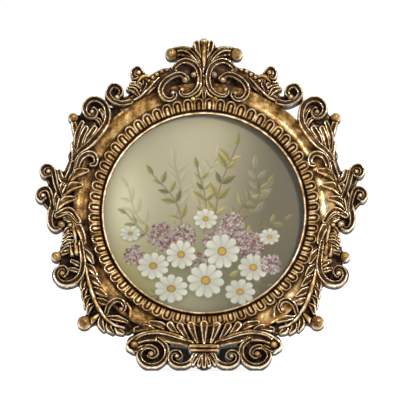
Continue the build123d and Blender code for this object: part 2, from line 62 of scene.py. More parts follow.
# The face plane of the casting: x to the right, y up the face, z to the viewer, 0 at the flat back
across = Vector((1, 0, 0))
upFace = Vector((0, math.sin(leanAngle), math.cos(leanAngle)))
toViewer = Vector((0, -math.cos(leanAngle), math.sin(leanAngle)))
glassLow, glassHigh = (Vector(corner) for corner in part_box("glass_disc"))
glassMiddle = 6.4 * mm  # height of the glass over the flat back
faceOrigin = (glassLow + glassHigh) / 2 - toViewer * glassMiddle
faceToRow = Matrix((across, upFace, toViewer)).transposed().to_4x4()
faceToRow.translation = faceOrigin
faceToRow = faceToRow @ Matrix.Scale(mm, 4)


# Face millimetres to row metres; nothing goes below the table
def placeOnFace(points):
    matrix = np.array(faceToRow)
    placed = points @ matrix[:3, :3].T + matrix[:3, 3]
    placed[:, 2] = np.maximum(placed[:, 2], 0)
    return placed


def linkObject(name, data):
    made = bpy.data.objects.new(name, data)
    bpy.context.collection.objects.link(made)
    return made


def selectOnly(piece):
    bpy.ops.object.select_all(action="DESELECT")
    piece.select_set(True)
    bpy.context.view_layer.objects.active = piece


def addPiece(name, points, faces, smoothAngle=42):
    mesh = bpy.data.meshes.new(name)
    mesh.from_pydata([tuple(p) for p in points], [], [tuple(f) for f in faces])
    mesh.validate()
    piece = linkObject(name, mesh)
    selectOnly(piece)
    bpy.ops.object.shade_smooth_by_angle(angle=math.radians(smoothAngle))
    return piece


def storeValue(piece, name, values):
    layer = piece.data.attributes.new(name, "FLOAT", "POINT")
    layer.data.foreach_set("value", np.ascontiguousarray(values, dtype=np.float32))


# A Gaussian blur of a grid, radius in cells, that stops at cutOff radii
def blurred(field, radius, cutOff=2.5):
    reach = max(1, int(radius * cutOff))
    weights = np.exp(-0.5 * (np.arange(-reach, reach + 1) / radius) ** 2)
    weights /= weights.sum()
    for axis in (0, 1):
        padded = np.pad(field, [(reach, reach) if a == axis else (0, 0) for a in (0, 1)], mode="edge")
        size = field.shape[axis]
        field = sum(w * np.take(padded, np.arange(k, k + size), axis=axis) for k, w in enumerate(weights))
    return field


# 1 at the middle, with a soft fall on both sides
def hump(value, middle, spread):
    return np.exp(-(((value - middle) / spread) ** 2))


def between(low, high, share):
    return low + share * (high - low)


# One value, or several spread evenly over a line, at a share of the way along it
def spreadAlong(values, way):
    values = np.atleast_1d(values)
    return np.interp(way, np.linspace(0, 1, len(values)), values)


# The points and corners of a grid's chosen cells: which points they use, how many chosen cells are round
# each point, and the numbers of each cell's four corners in turn
def cellCorners(chosen):
    rows, columns = chosen.shape
    count = np.zeros((rows + 1, columns + 1), int)
    for down in (0, 1):
        for right in (0, 1):
            count[down : rows + down, right : columns + right] += chosen
    used = count > 0
    number = np.full(count.shape, -1)
    number[used] = np.arange(used.sum())
    corners = number[:-1, :-1], number[:-1, 1:], number[1:, 1:], number[1:, :-1]
    return used, count, [corner[chosen] for corner in corners]


# Moulding ring, from the sight edge outwards: radius and height in mm, then how bare of patina it is
ring = {
    "bead": [
        (61.0, 7.45, 0.1), (61.0, 9.0, 0.3), (61.15, 9.9, 0.7), (61.5, 10.5, 1.0), (61.9, 10.75, 0.8),
        (62.35, 10.5, 0.3), (62.7, 9.9, 0.1), (62.85, 9.3, 0.0), (63.2, 8.8, 0.0), (63.5, 9.0, 0.0),
    ],
    "rim": [
        (79.1, 14.45, 0.5), (79.5, 14.7, 0.5), (79.9, 14.6, 0.45), (80.2, 14.2, 0.4), (80.25, 13.4, 0.3),
        (80.25, 8.0, 0.1), (80.25, 0.6, 0.05),
    ],
    "back": [(79.8, 0.0, 0.0), (64.6, 0.0, 0.0), (64.5, 0.1, 0.0), (64.5, 7.45, 0.0)],
    "outerRadius": 80.25, "frontLevel": 8.5, "backBare": 0.05, "barest": 0.95, "smoothAngle": 50,
    "rimShows": [(43, 6), (150, 4)],  # degrees from the top to either side, and spread
    "coverStart": 74, "coverRun": 2, "covered": 0.6,  # where carving covers the front, and how low it goes
    "gathered": 0.22,  # how much less bare, so darker, the ring is under each mm of carving beside it: patina that gathers there and painted shade from the carving
    "paintedHighlights": [(-6, 26, 0.52), (-44, 20, 0.34), (48, 16, 0.06)],  # painted highlights on the cove's right side, where the key lamp's reflection falls: degrees, spread, how much barer
}

# Egg band of the ring: radii, heights and widths in mm; rise and bare are those of the eggs' rims, tongues
# and darts
eggs = {
    "start": 63.5, "end": 70.5, "foot": 9.2, "crest": 12.9, "rows": 22,
    "count": 64, "stepsPerEgg": 14, "slack": 0.01, "pitchRadius": 67, "fadeIn": 0.7,
    "noseRadius": 2.5, "noseGap": 0.4, "rimWidth": 0.42, "tongueRadius": 1.05,
    "dartWidth": 0.25, "dartRun": 2, "dartReach": 0.8, "rise": (1.5, 1.15, 0.3), "bare": (1.15, 0.7, 0.5),
}

# Cove between the eggs and the rim: radii and heights in mm, shares of its width, and how bare it is; it is
# darker next to the eggs, with patina and painted shade where the egg band meets it
cove = {
    "start": 70.75, "end": 78.9, "floor": 9.4, "lip": 12.0, "rimSide": 14.3, "rows": 20,
    "lowestShare": 0.42, "curlShare": 0.97, "curlDepth": 0.757,
    "bare": 0.2, "bareGain": 0.36, "bareRun": 0.15,
}


# Height that the eggs add to the slope, and how bare they are
def eggBump(radius, angle):
    pitch = 2 * math.pi * eggs["pitchRadius"] / eggs["count"]
    side = np.abs((angle * eggs["count"] / (2 * math.pi)) % 1 - 0.5) * pitch
    nose = eggs["end"] - eggs["noseGap"] - eggs["noseRadius"]
    reach = np.sqrt(side**2 + np.maximum(radius - nose, 0) ** 2)
    rim = hump(reach, eggs["noseRadius"], eggs["rimWidth"])
    tongue = roundSection(reach / eggs["tongueRadius"])
    dart = hump(side, pitch / 2, eggs["dartWidth"])
    dart *= np.clip((nose - radius) / eggs["dartRun"] + eggs["dartReach"], 0, 1)
    fade = np.clip((radius - eggs["start"]) / eggs["fadeIn"], 0, 1)
    forms = rim, tongue, dart
    rise, bare = (sum(share * form for share, form in zip(eggs[key], forms)) for key in ("rise", "bare"))
    return fade * rise, fade * np.clip(bare, 0, 1)


def eggRow(share):
    return between(eggs["start"], eggs["end"], share), between(eggs["foot"], eggs["crest"], share), 0.0


def coveRow(share):
    lowest = cove["lowestShare"]
    onEggSide = share < lowest
    fall = abs(share - lowest) / (lowest if onEggSide else 1 - lowest)
    depth = cove["lip" if onEggSide else "rimSide"] - cove["floor"]
    curl = (1 - math.sqrt(1 - min(fall, cove["curlShare"]) ** 2)) / cove["curlDepth"]
    # darker next to the eggs: patina and painted shade
    bare = cove["bare"] + cove["bareGain"] * min(1, share / cove["bareRun"])
    return between(cove["start"], cove["end"], share), cove["floor"] + depth * curl, bare


def ringProfile():
    rows = list(ring["bead"])
    rows += [eggRow(k / eggs["rows"]) for k in range(1, eggs["rows"] + 1)]
    rows.append((cove["start"], cove["lip"], 0.0))
    rows += [coveRow(k / cove["rows"]) for k in range(1, cove["rows"] + 1)]
    return rows + ring["rim"] + ring["back"]


# A column of the profile, 1 for height and 2 for bareness, at a radius on the ring's front
def onFront(radius, column):
    front = sorted((row[0], row[column]) for row in ringProfile() if row[1] > ring["frontLevel"])
    return np.interp(radius, *zip(*front))


def spinRing():
    rows = ringProfile()
    mesh = bpy.data.meshes.new("mouldingRing")
    corners = [(radius, 0, height) for radius, height, _ in rows]
    edges = [(k, (k + 1) % len(rows)) for k in range(len(rows))]
    mesh.from_pydata(corners, edges, [])
    piece = linkObject("mouldingRing", mesh)
    selectOnly(piece)
    steps = eggs["count"] * eggs["stepsPerEgg"]
    bpy.ops.object.mode_set(mode="EDIT")
    bpy.ops.mesh.select_all(action="SELECT")
    bpy.ops.mesh.spin(steps=steps, angle=2 * math.pi, center=(0, 0, 0), axis=(0, 0, 1), use_auto_merge=True)
    bpy.ops.mesh.select_all(action="SELECT")
    bpy.ops.mesh.remove_doubles(threshold=0.0005)
    bpy.ops.mesh.normals_make_consistent(inside=False)
    bpy.ops.object.mode_set(mode="OBJECT")
    return piece


def makeRing():
    piece = spinRing()
    mesh = piece.data
    points = np.empty(len(mesh.vertices) * 3)
    mesh.vertices.foreach_get("co", points)
    points = points.reshape(-1, 3)
    x, y, z = points.T
    radius, angle = np.hypot(x, y), np.arctan2(y, x)
    front = z > ring["frontLevel"]
    past = radius - eggs["slack"]  # rows on the band's edges stay out of it at the start, in it at the end
    band = front & (past > eggs["start"]) & (past < eggs["end"])
    bump, eggBare = eggBump(radius, angle)
    z += np.where(band, bump, 0)
    z[:] = np.where(front & ~band, lowered(x, y, z), z)
    bare = np.where(front, onFront(radius, 2), ring["backBare"])
    bare = np.where(band, eggBare, bare)
    inCove = front & (radius > eggs["end"])
    # painted highlights: the cove is made barer, so brighter, on its right side where the key lamp's
    # reflection falls
    for middle, spread, much in ring["paintedHighlights"]:
        bare = np.where(inCove, bare + much * hump(np.degrees(angle), middle, spread), bare)
    # patina and painted shade: darker near the carving
    bare = np.where(front, bare - ring["gathered"] * patinaAndShade.near(x, y), bare)
    mesh.vertices.foreach_set("co", placeOnFace(points).ravel())
    mesh.update()
    bpy.ops.object.shade_smooth_by_angle(angle=math.radians(ring["smoothAngle"]))
    storeValue(piece, "bare", np.clip(bare, 0, ring["barest"]))
    return piece


# How high the carving stands around a point of the ring, in mm: the ring darkens there, with patina that
# gathers there and painted shade from the carving
class PatinaAndShade:
    cell, reach, low, high = 0.6, 2.5, -108, 115

    def __init__(self):
        self.line = np.arange(self.low, self.high, self.cell)
        self.rise = np.zeros((len(self.line), len(self.line)))
        self.field = self.rise

    def note(self, x, y, rise):
        i = np.clip(np.searchsorted(y, self.line), 0, len(y) - 1)
        j = np.clip(np.searchsorted(x, self.line), 0, len(x) - 1)
        self.rise = np.maximum(self.rise, rise[np.ix_(i, j)])
        self.field = blurred(self.rise, self.reach / self.cell)

    def near(self, x, y):
        last = len(self.line) - 1
        i, j = (np.clip(np.rint((v - self.line[0]) / self.cell).astype(int), 0, last) for v in (y, x))
        return self.field[i, j]


patinaAndShade = PatinaAndShade()


# The ring's front is kept low where carving covers its rim: 1 where the rim shows, 0 under the carving
def rimShare(x, y):
    fromTop = np.degrees(np.arctan2(abs(x), y))
    return np.clip(sum(hump(fromTop, middle, spread) for middle, spread in ring["rimShows"]), 0, 1)


def lowered(x, y, height):
    outside = np.clip((np.hypot(x, y) - ring["coverStart"]) / ring["coverRun"], 0, 1)
    return height - np.maximum(height - cove["floor"], 0) * (1 - rimShare(x, y)) * outside * ring["covered"]


# Height of the ring's front under the carving, 0 off the ring
def ringHeight(x, y):
    radius = np.hypot(x, y)
    height = lowered(x, y, onFront(radius, 1))
    return np.where((radius > sightRadius) & (radius < ring["outerRadius"]), height, 0)


# Cross sections of the carved strokes, in shares of the crown's height and of the half width: a bead or lip
# has a rise, a place and a spread, a rim a place and a spread, and edge is the width of the fall to each side
sectionForms = {
    "channel": {"floor": 0.68, "bead": (0.31, 0.58, 0.27), "lip": (0.12, -0.74, 0.2), "edge": 0.2},
    "leaf": {"floor": 0.79, "rim": (0.62, 0.27), "outerRise": 0.2, "innerRise": 0.13, "edge": 0.3},
    "ridge": {"power": 0.85},
    "fluted": {"flutes": 3, "depth": 0.16},
    "flat": {"edge": 1 / 6},
}


def roundSection(s):
    return np.sqrt(np.clip(1 - s**2, 0, 1))


def roundedEdge(s, edge):
    return np.sqrt(np.clip((1 - abs(s)) / edge, 0, 1))


# A scroll's band: a bead on its outer side, a hollow and a low lip on its inner side, where s is below zero
def channelSection(s):
    form = sectionForms["channel"]
    stands = (rise * hump(s, place, spread) for rise, place, spread in (form["bead"], form["lip"]))
    return sum(stands, form["floor"]) * roundedEdge(s, form["edge"])


def leafSection(s):
    form = sectionForms["leaf"]
    rim = hump(abs(s), *form["rim"]) * np.where(s > 0, form["outerRise"], form["innerRise"])
    return (form["floor"] + rim) * roundedEdge(s, form["edge"])


def ridgeSection(s):
    return np.clip(1 - abs(s), 0, 1) ** sectionForms["ridge"]["power"]


def flutedSection(s):
    form = sectionForms["fluted"]
    return roundSection(s) * (1 - form["depth"] + form["depth"] * np.cos(s * form["flutes"] * math.pi))


def flatSection(s):
    return np.clip((1 - abs(s)) / sectionForms["flat"]["edge"], 0, 1)


sections = {
    "round": roundSection, "channel": channelSection, "leaf": leafSection, "ridge": ridgeSection,
    "fluted": flutedSection, "flat": flatSection,
}


# A Catmull-Rom line through the points
def smoothLine(points, count=9):
    points = np.array(points, dtype=float)
    if len(points) == 2:
        return np.linspace(points[0], points[1], count)
    ends = np.vstack([2 * points[0] - points[1], points, 2 * points[-1] - points[-2]])
    t = np.linspace(0, 1, count)[:-1, None]
    line = []
    for k in range(len(points) - 1):
        a, b, c, d = ends[k : k + 4]
        bend = (2 * a - 5 * b + 4 * c - d) * t**2 + (3 * b - a - 3 * c + d) * t**3
        line.append(0.5 * (2 * b + (c - a) * t + bend))
    return np.vstack(line + [points[-1:]])


# The nearest point of a line to each point of a grid: distance over width, distance (below zero on the
# hollow side of the line's bend), width and way along it
def nearestOnLine(gridX, gridY, line, widths):
    starts, runs = line[:-1], np.diff(line, axis=0)
    lengths = np.maximum(np.hypot(*runs.T), 1e-6)
    ways = np.concatenate([[0], np.cumsum(lengths)]) / lengths.sum()
    turning = (runs[:-1, 0] * runs[1:, 1] - runs[:-1, 1] * runs[1:, 0]).sum()
    outer = -1 if turning > 0 else 1
    shape = gridX.shape
    best = [np.full(shape, 1e9), np.full(shape, 1e9), np.ones(shape), np.zeros(shape)]
    for start, run, length, wayIn, wayOut in zip(starts, runs, lengths, ways[:-1], ways[1:]):
        awayX, awayY = gridX - start[0], gridY - start[1]
        share = np.clip((awayX * run[0] + awayY * run[1]) / length**2, 0, 1)
        distance = np.hypot(awayX - share * run[0], awayY - share * run[1])
        way = between(wayIn, wayOut, share)
        width = spreadAlong(widths, way)
        beside = run[0] * awayY - run[1] * awayX
        found = [distance / width, np.where(beside * outer < 0, -distance, distance), width, way]
        closer = found[0] < best[0]
        best = [np.where(closer, new, old) for new, old in zip(found, best)]
    return best


# How the strokes stand on the flat back, in mm: crossing is the least crown of a stroke on the ring, and
# skirt the height of its foot beside the rim, both at some radii
plate = {
    "step": 0.3, "back": 0.08, "foot": 6.5, "sunkInRing": 0.4, "floorDrop": 1,
    "overShare": 0.3,  # share of its crown over which a stroke hides what is under it
    "crossing": ((66, 69, 73, 82, 88), (14.2, 13.0, 13.4, 13.4, 0)),
    "skirt": ((80.25, 82, 86), (10.2, 8.5, 6.5)),
    "gapReach": 1.3, "gapCover": 0.6, "gapGain": 2.5, "gapFloor": 8.0,  # slits that a low floor closes
    "softShare": 0.38, "softReach": 0.9, "edgeShift": 0.7, "leastSlope": 0.5, "leastTop": 3, "outside": 6,
}

# How bare the carving is rubbed: more where a point stands out over its wide and its near surroundings,
# whose reach is in cells, and on what is high
rubbing = {
    "base": 0.18, "broad": 0.2, "broadReach": 3.6, "broadLimits": (-2, 0.9), "fine": 1.05, "fineReach": 1.3,
    "level": 12, "perMm": 0.02, "barest": 0.98, "border": 0.6, "ground": 5.0, "patinaAndShadeLevel": 9,
}


# A carved plate: the height of each stroke over a fine grid, in face millimetres
class Relief:
    def __init__(self, name, acrossRange, upRange):
        self.name, self.step = name, plate["step"]
        ranges = acrossRange, upRange
        self.x, self.y = (np.arange(low, high + self.step, self.step) for low, high in ranges)
        self.gridX, self.gridY = np.meshgrid(self.x, self.y)
        radius = np.hypot(self.gridX, self.gridY)
        self.height = np.full(radius.shape, -1.0)
        self.edgeHeight = np.zeros(radius.shape)
        self.margin = np.full(radius.shape, -9.0)
        self.ringBase = ringHeight(self.gridX, self.gridY)
        skirt = np.interp(radius, *plate["skirt"])
        self.footing = np.where(self.ringBase > 0, self.ringBase - plate["sunkInRing"], skirt)
        self.leastCrown = np.interp(radius, *plate["crossing"])

    def window(self, low, high):
        down, up = np.searchsorted(self.y, (low[1], high[1]))
        left, right = np.searchsorted(self.x, (low[0], high[0]))
        return slice(max(down - 1, 0), up + 1), slice(max(left - 1, 0), right + 1)

    # Puts one stroke on the plate, over what is there; distance is below zero on one side
    def lay(self, area, distance, width, crown, section):
        form = sections[section](np.clip(distance / width, -1, 1))
        margin = width - abs(distance)
        flat = section == "flat"
        low = plate["foot"] - plate["floorDrop"] if flat else self.footing[area]
        high = crown if flat else np.maximum(crown, self.leastCrown[area])
        body = low + (high - low) * form
        over = body > self.height[area]
        if not flat:
            over |= form > plate["overShare"]
        self.height[area] = np.where(over & (margin > 0), body, self.height[area])
        near = (margin > self.margin[area]) & (margin > -2 * self.step)
        self.edgeHeight[area] = np.where(near, np.maximum(low, plate["foot"]), self.edgeHeight[area])
        self.margin[area] = np.maximum(self.margin[area], margin)

    # A ribbon along a line; half widths and crown heights are spread evenly along it
    def stroke(self, points, widths, crown, section, placed):
        line = smoothLine([placed(p) for p in points])
        widths = np.atleast_1d(widths) * hundredth
        reach = max(widths) + 2 * self.step
        area = self.window(line.min(axis=0) - reach, line.max(axis=0) + reach)
        if self.gridX[area].size:
            _, distance, width, way = nearestOnLine(self.gridX[area], self.gridY[area], line, widths)
            self.lay(area, distance, width, spreadAlong(crown, way), section)

    def ball(self, middle, radius, crown):
        width = radius * hundredth
        reach = np.full(2, width + 2 * self.step)
        area = self.window(np.array(middle) - reach, np.array(middle) + reach)
        distance = np.hypot(self.gridX[area] - middle[0], self.gridY[area] - middle[1])
        self.lay(area, distance, width, crown, "round")

    # Closes the slits between the strokes with a low floor
    def fillGaps(self):
        cover = blurred((self.margin > 0).astype(float), plate["gapReach"] / self.step)
        fill = (cover - plate["gapCover"]) * plate["gapGain"] * plate["gapReach"]
        added = (fill > 0) & (self.margin <= 0)
        self.height[added] = self.edgeHeight[added] = plate["gapFloor"]
        self.margin = np.maximum(self.margin, fill)

    # Cells inside the strokes, with none that touch at one corner alone
    def cutCells(self, rounds=6):
        sides = self.margin[:-1, :-1], self.margin[1:, :-1], self.margin[:-1, 1:], self.margin[1:, 1:]
        inside = sum(sides) > 0
        inside[[0, -1], :] = inside[:, [0, -1]] = False
        for _ in range(rounds):
            a, b, c, d = inside[:-1, :-1], inside[:-1, 1:], inside[1:, :-1], inside[1:, 1:]
            crossed = (a & d & ~b & ~c) | (b & c & ~a & ~d)
            if not crossed.any():
                break
            inside[:-1, :-1] |= crossed
            inside[:-1, 1:] |= crossed
        return inside

    def bareness(self, height, used, border):
        ground = np.where(self.ringBase > 0, self.ringBase, rubbing["ground"])
        shown = np.where(used, np.maximum(height, self.ringBase), ground)
        broad, fine = (height - blurred(shown, rubbing[reach]) for reach in ("broadReach", "fineReach"))
        bare = rubbing["base"] + rubbing["broad"] * np.clip(broad, *rubbing["broadLimits"])
        bare = bare + rubbing["fine"] * fine + rubbing["perMm"] * (height - rubbing["level"])
        bare = np.clip(bare, 0, rubbing["barest"])
        return np.where(border, rubbing["border"] * bare, bare)

    # The grid's points, with those of the border moved to the strokes' edges
    def outline(self, border):
        slopeY, slopeX = np.gradient(self.margin, self.step)
        steep = np.maximum(slopeX**2 + slopeY**2, plate["leastSlope"] ** 2)
        most = plate["edgeShift"] * self.step
        moves = (np.clip(-self.margin * slope / steep, -most, most) for slope in (slopeX, slopeY))
        return [grid + np.where(border, move, 0) for grid, move in zip((self.gridX, self.gridY), moves)]

    # The plate as a closed solid: a carved top, a flat back and a wall round each outline
    def finish(self):
        self.fillGaps()
        height = np.where(self.height > 0, self.height, self.edgeHeight)
        inside = self.cutCells()
        used, count, (a, b, c, d) = cellCorners(inside)
        border = used & (count < 4)
        # how far the carving stands over the ring, for the patina and painted shade around it on the ring
        rise = height - np.maximum(self.ringBase, rubbing["patinaAndShadeLevel"])
        patinaAndShade.note(self.x, self.y, used * np.maximum(rise, 0))
        solid = np.where(used, np.maximum(height, plate["leastTop"]), plate["outside"])
        soft = between(solid, blurred(solid, plate["softReach"]), plate["softShare"])
        x, y = (grid[used] for grid in self.outline(border))
        total = len(x)
        top = np.column_stack([x, y, soft[used]])
        bottom = np.column_stack([x, y, np.full(total, plate["back"])])
        faces = [np.column_stack([a, b, c, d]), np.column_stack([d, c, b, a]) + total]
        padded = np.pad(inside, 1)
        rows, columns = inside.shape
        walls = {(0, 1): (a, b), (1, 2): (b, c), (2, 1): (c, d), (1, 0): (d, a)}  # where the neighbour lies
        for (up, right), (first, second) in walls.items():
            beside = padded[up : rows + up, right : columns + right][inside]
            p, q = first[~beside], second[~beside]
            faces.append(np.column_stack([q, p, p + total, q + total]))
        points = placeOnFace(np.vstack([top, bottom]))
        piece = addPiece(self.name, points, np.vstack(faces).tolist())
        bare = self.bareness(height, used, border)[used]
        storeValue(piece, "bare", np.concatenate([bare, np.zeros(total)]))
        print(self.name, len(piece.data.polygons), "faces")
        return piece


# Carving of the left half: places and half widths in hundredths of the sight radius, heights in mm. A floor
# has half widths, crown heights and points; a stroke a kind, or a section, half widths and crown heights, and
# then points; a ball a place, a radius and a crown height. What comes later lies on what came before.
strokeKinds = {  # strokes that come again: section, half widths, crown heights
    "crestLeaf": ("leaf", (2.2, 3.6, 2.4), (12.5, 13.5, 12.5)),
    "scrollLeaf": ("leaf", (1.6, 2.6, 1.9), (12.0, 13.5, 13.0)),
    "vein": ("ridge", (0.8, 1.2, 0.8), (14.5, 15.8, 15.0)),
    "tuftLeaf": ("leaf", (1.8, 3.2, 2.2), (12.0, 13.0, 12.5)),
    "outerLeaf": ("leaf", (1.8, 3.7, 1.6), (12.5, 13.5, 12.5)),
    "lowerLeaf": ("leaf", (2.0, 4.1, 1.9), (12.5, 13.5, 12.5)),
    "innerLeaf": ("leaf", (2.0, 4.3, 1.9), (13.0, 14.5, 14.0)),
    "footLeaf": ("leaf", (2.7, 4.4, 3.2), (13.0, 14.5, 12.5)),
}

crest = {
    "across": (-64, 64), "up": (62, 112),
    "floors": [
        (5.0, 8.5, [(0, 118), (0, 148)]),
        ((9.0, 10.0, 9.0), 8.0, [(15, 124), (32, 126), (46, 122)]),
        ((9.0, 8.0, 5.0), (8.5, 8.5, 8.0), [(42, 132), (60, 121), (80, 112)]),
        (8.5, 8.5, [(89, 121), (91, 119)]),
        ((4.0, 5.0), 8.5, [(62, 127), (66, 141)]),
        ((4.0, 5.0, 4.0), 8.5, [(3, 146), (12, 155), (29, 161)]),
        ((8.0, 9.0, 7.0), 8.5, [(10, 134), (20, 138), (30, 143)]),
        ((6.0, 8.0), 9.0, [(0, 152), (0, 166)]),
        (6.0, 8.5, [(9, 147), (25, 149)]),
        ((6.0, 6.0, 5.0), (9.5, 9.5, 9.0), [(39, 142), (49, 137), (58, 130)]),
    ],
    "leftShadeFloors": [],
    "strokes": [
        ("round", (2.0, 2.4, 3.0), (12.0, 12.5, 13.0), [(0, 121), (0, 136), (0, 150)]),
        ("leaf", (2.0, 3.4, 3.0), (12.0, 13.5, 14.0), [(2.5, 148), (7.5, 157), (10.5, 166)]),
        ("leaf", (2.4, 4.4, 4.4), (12.5, 14.5, 15.0), [(1.5, 150), (5, 162), (7, 171)]),
        ("round", (1.8, 3.4, 4.8), (13.0, 15.0, 15.8), [(0, 148), (0, 162), (0, 173)]),
        ("leaf", (1.6, 3.0, 2.0), (12.5, 14.0, 12.5), [(0, 127), (0, 120), (0, 115.5)]),
        ("fluted", (3.0, 6.0, 7.0, 5.4), (11.5, 13.0, 14.0, 14.0),
         [(2, 141), (9, 155), (19, 163.5), (31, 163)]),
        ("ridge", (1.0, 1.3, 1.0), (13.0, 15.0, 15.0), [(3, 148), (12, 163), (28, 167)]),
        ("ridge", (1.0, 1.2, 1.0), (12.5, 14.8, 14.8), [(4, 143), (13, 157), (29, 160.5)]),
        ("channel", (2.4, 3.1, 3.1, 2.9, 2.4, 2.0), (11.0, 13.5, 14.5, 15.0, 14.5, 14.0),
         [(31, 147), (24, 153), (17, 154), (9, 150), (5, 143), (4, 134), (6, 126), (12, 120), (19, 118),
         (23.5, 121), (22, 125)]),
        ("channel", (2.9, 2.9, 3.1, 2.9, 2.0), (13.5, 14.5, 15.0, 14.5, 14.0),
         [(17, 136), (23, 140), (30, 139), (38, 134), (43, 127), (43, 120), (38, 114.5), (32, 114.5),
         (28.5, 119), (31, 122.5)]),
        ("round", (1.2, 1.6, 2.0), (12.5, 14.0, 13.5), [(2, 126), (4.5, 119.5), (10, 115.5)]),
        ("flat", (3.0, 6.0, 6.0, 5.0, 4.0), (10.0, 11.0, 11.0, 10.5, 10.5),
         [(30, 144), (42, 138), (52, 131), (62, 121), (74, 113)]),
        ("crestLeaf", [(66, 119), (70, 124), (76, 126)]),
        ("crestLeaf", [(60, 124), (66, 130), (73, 131)]),
        ("round", (1.2, 1.4, 1.4), (12.0, 14.5, 14.0),
         [(45, 137), (50, 132), (54, 127), (58, 123), (66, 116), (77, 111)]),
        ("channel", (3.5, 3.3, 2.9, 2.4), (13.0, 14.5, 14.5, 14.0),
         [(74, 112), (83, 110.5), (92, 114), (96.5, 121), (92, 128.5), (85, 127), (83, 121), (87, 118)]),
        ("channel", (2.2, 3.1, 2.9, 2.2), (11.5, 13.5, 14.5, 14.0),
         [(62, 124), (59, 131), (61, 139), (66, 146), (71, 143), (70, 137), (66, 138)]),
        ("round", (2.2, 3.0, 1.0), (11.5, 13.5, 11.0), [(52, 138), (61, 138), (68, 131)]),
    ],
    "balls": [
        (11, 115, 2.8, 14.5), (32.5, 161.5, 6.4, 15.3), (10, 140, 3.4, 14.5), (19, 134.5, 3.2, 15.2),
        (22, 124.5, 2.6, 14.8), (31, 121, 2.6, 14.8), (87, 117, 3.2, 14.8), (65.5, 142, 3.2, 14.6),
        (55.5, 133.5, 2.7, 13.6), (51.5, 137, 2.8, 13.8), (47, 140, 2.8, 13.8), (42.5, 143, 2.8, 13.8),
        (37.5, 145, 2.6, 13.6),
    ],
}

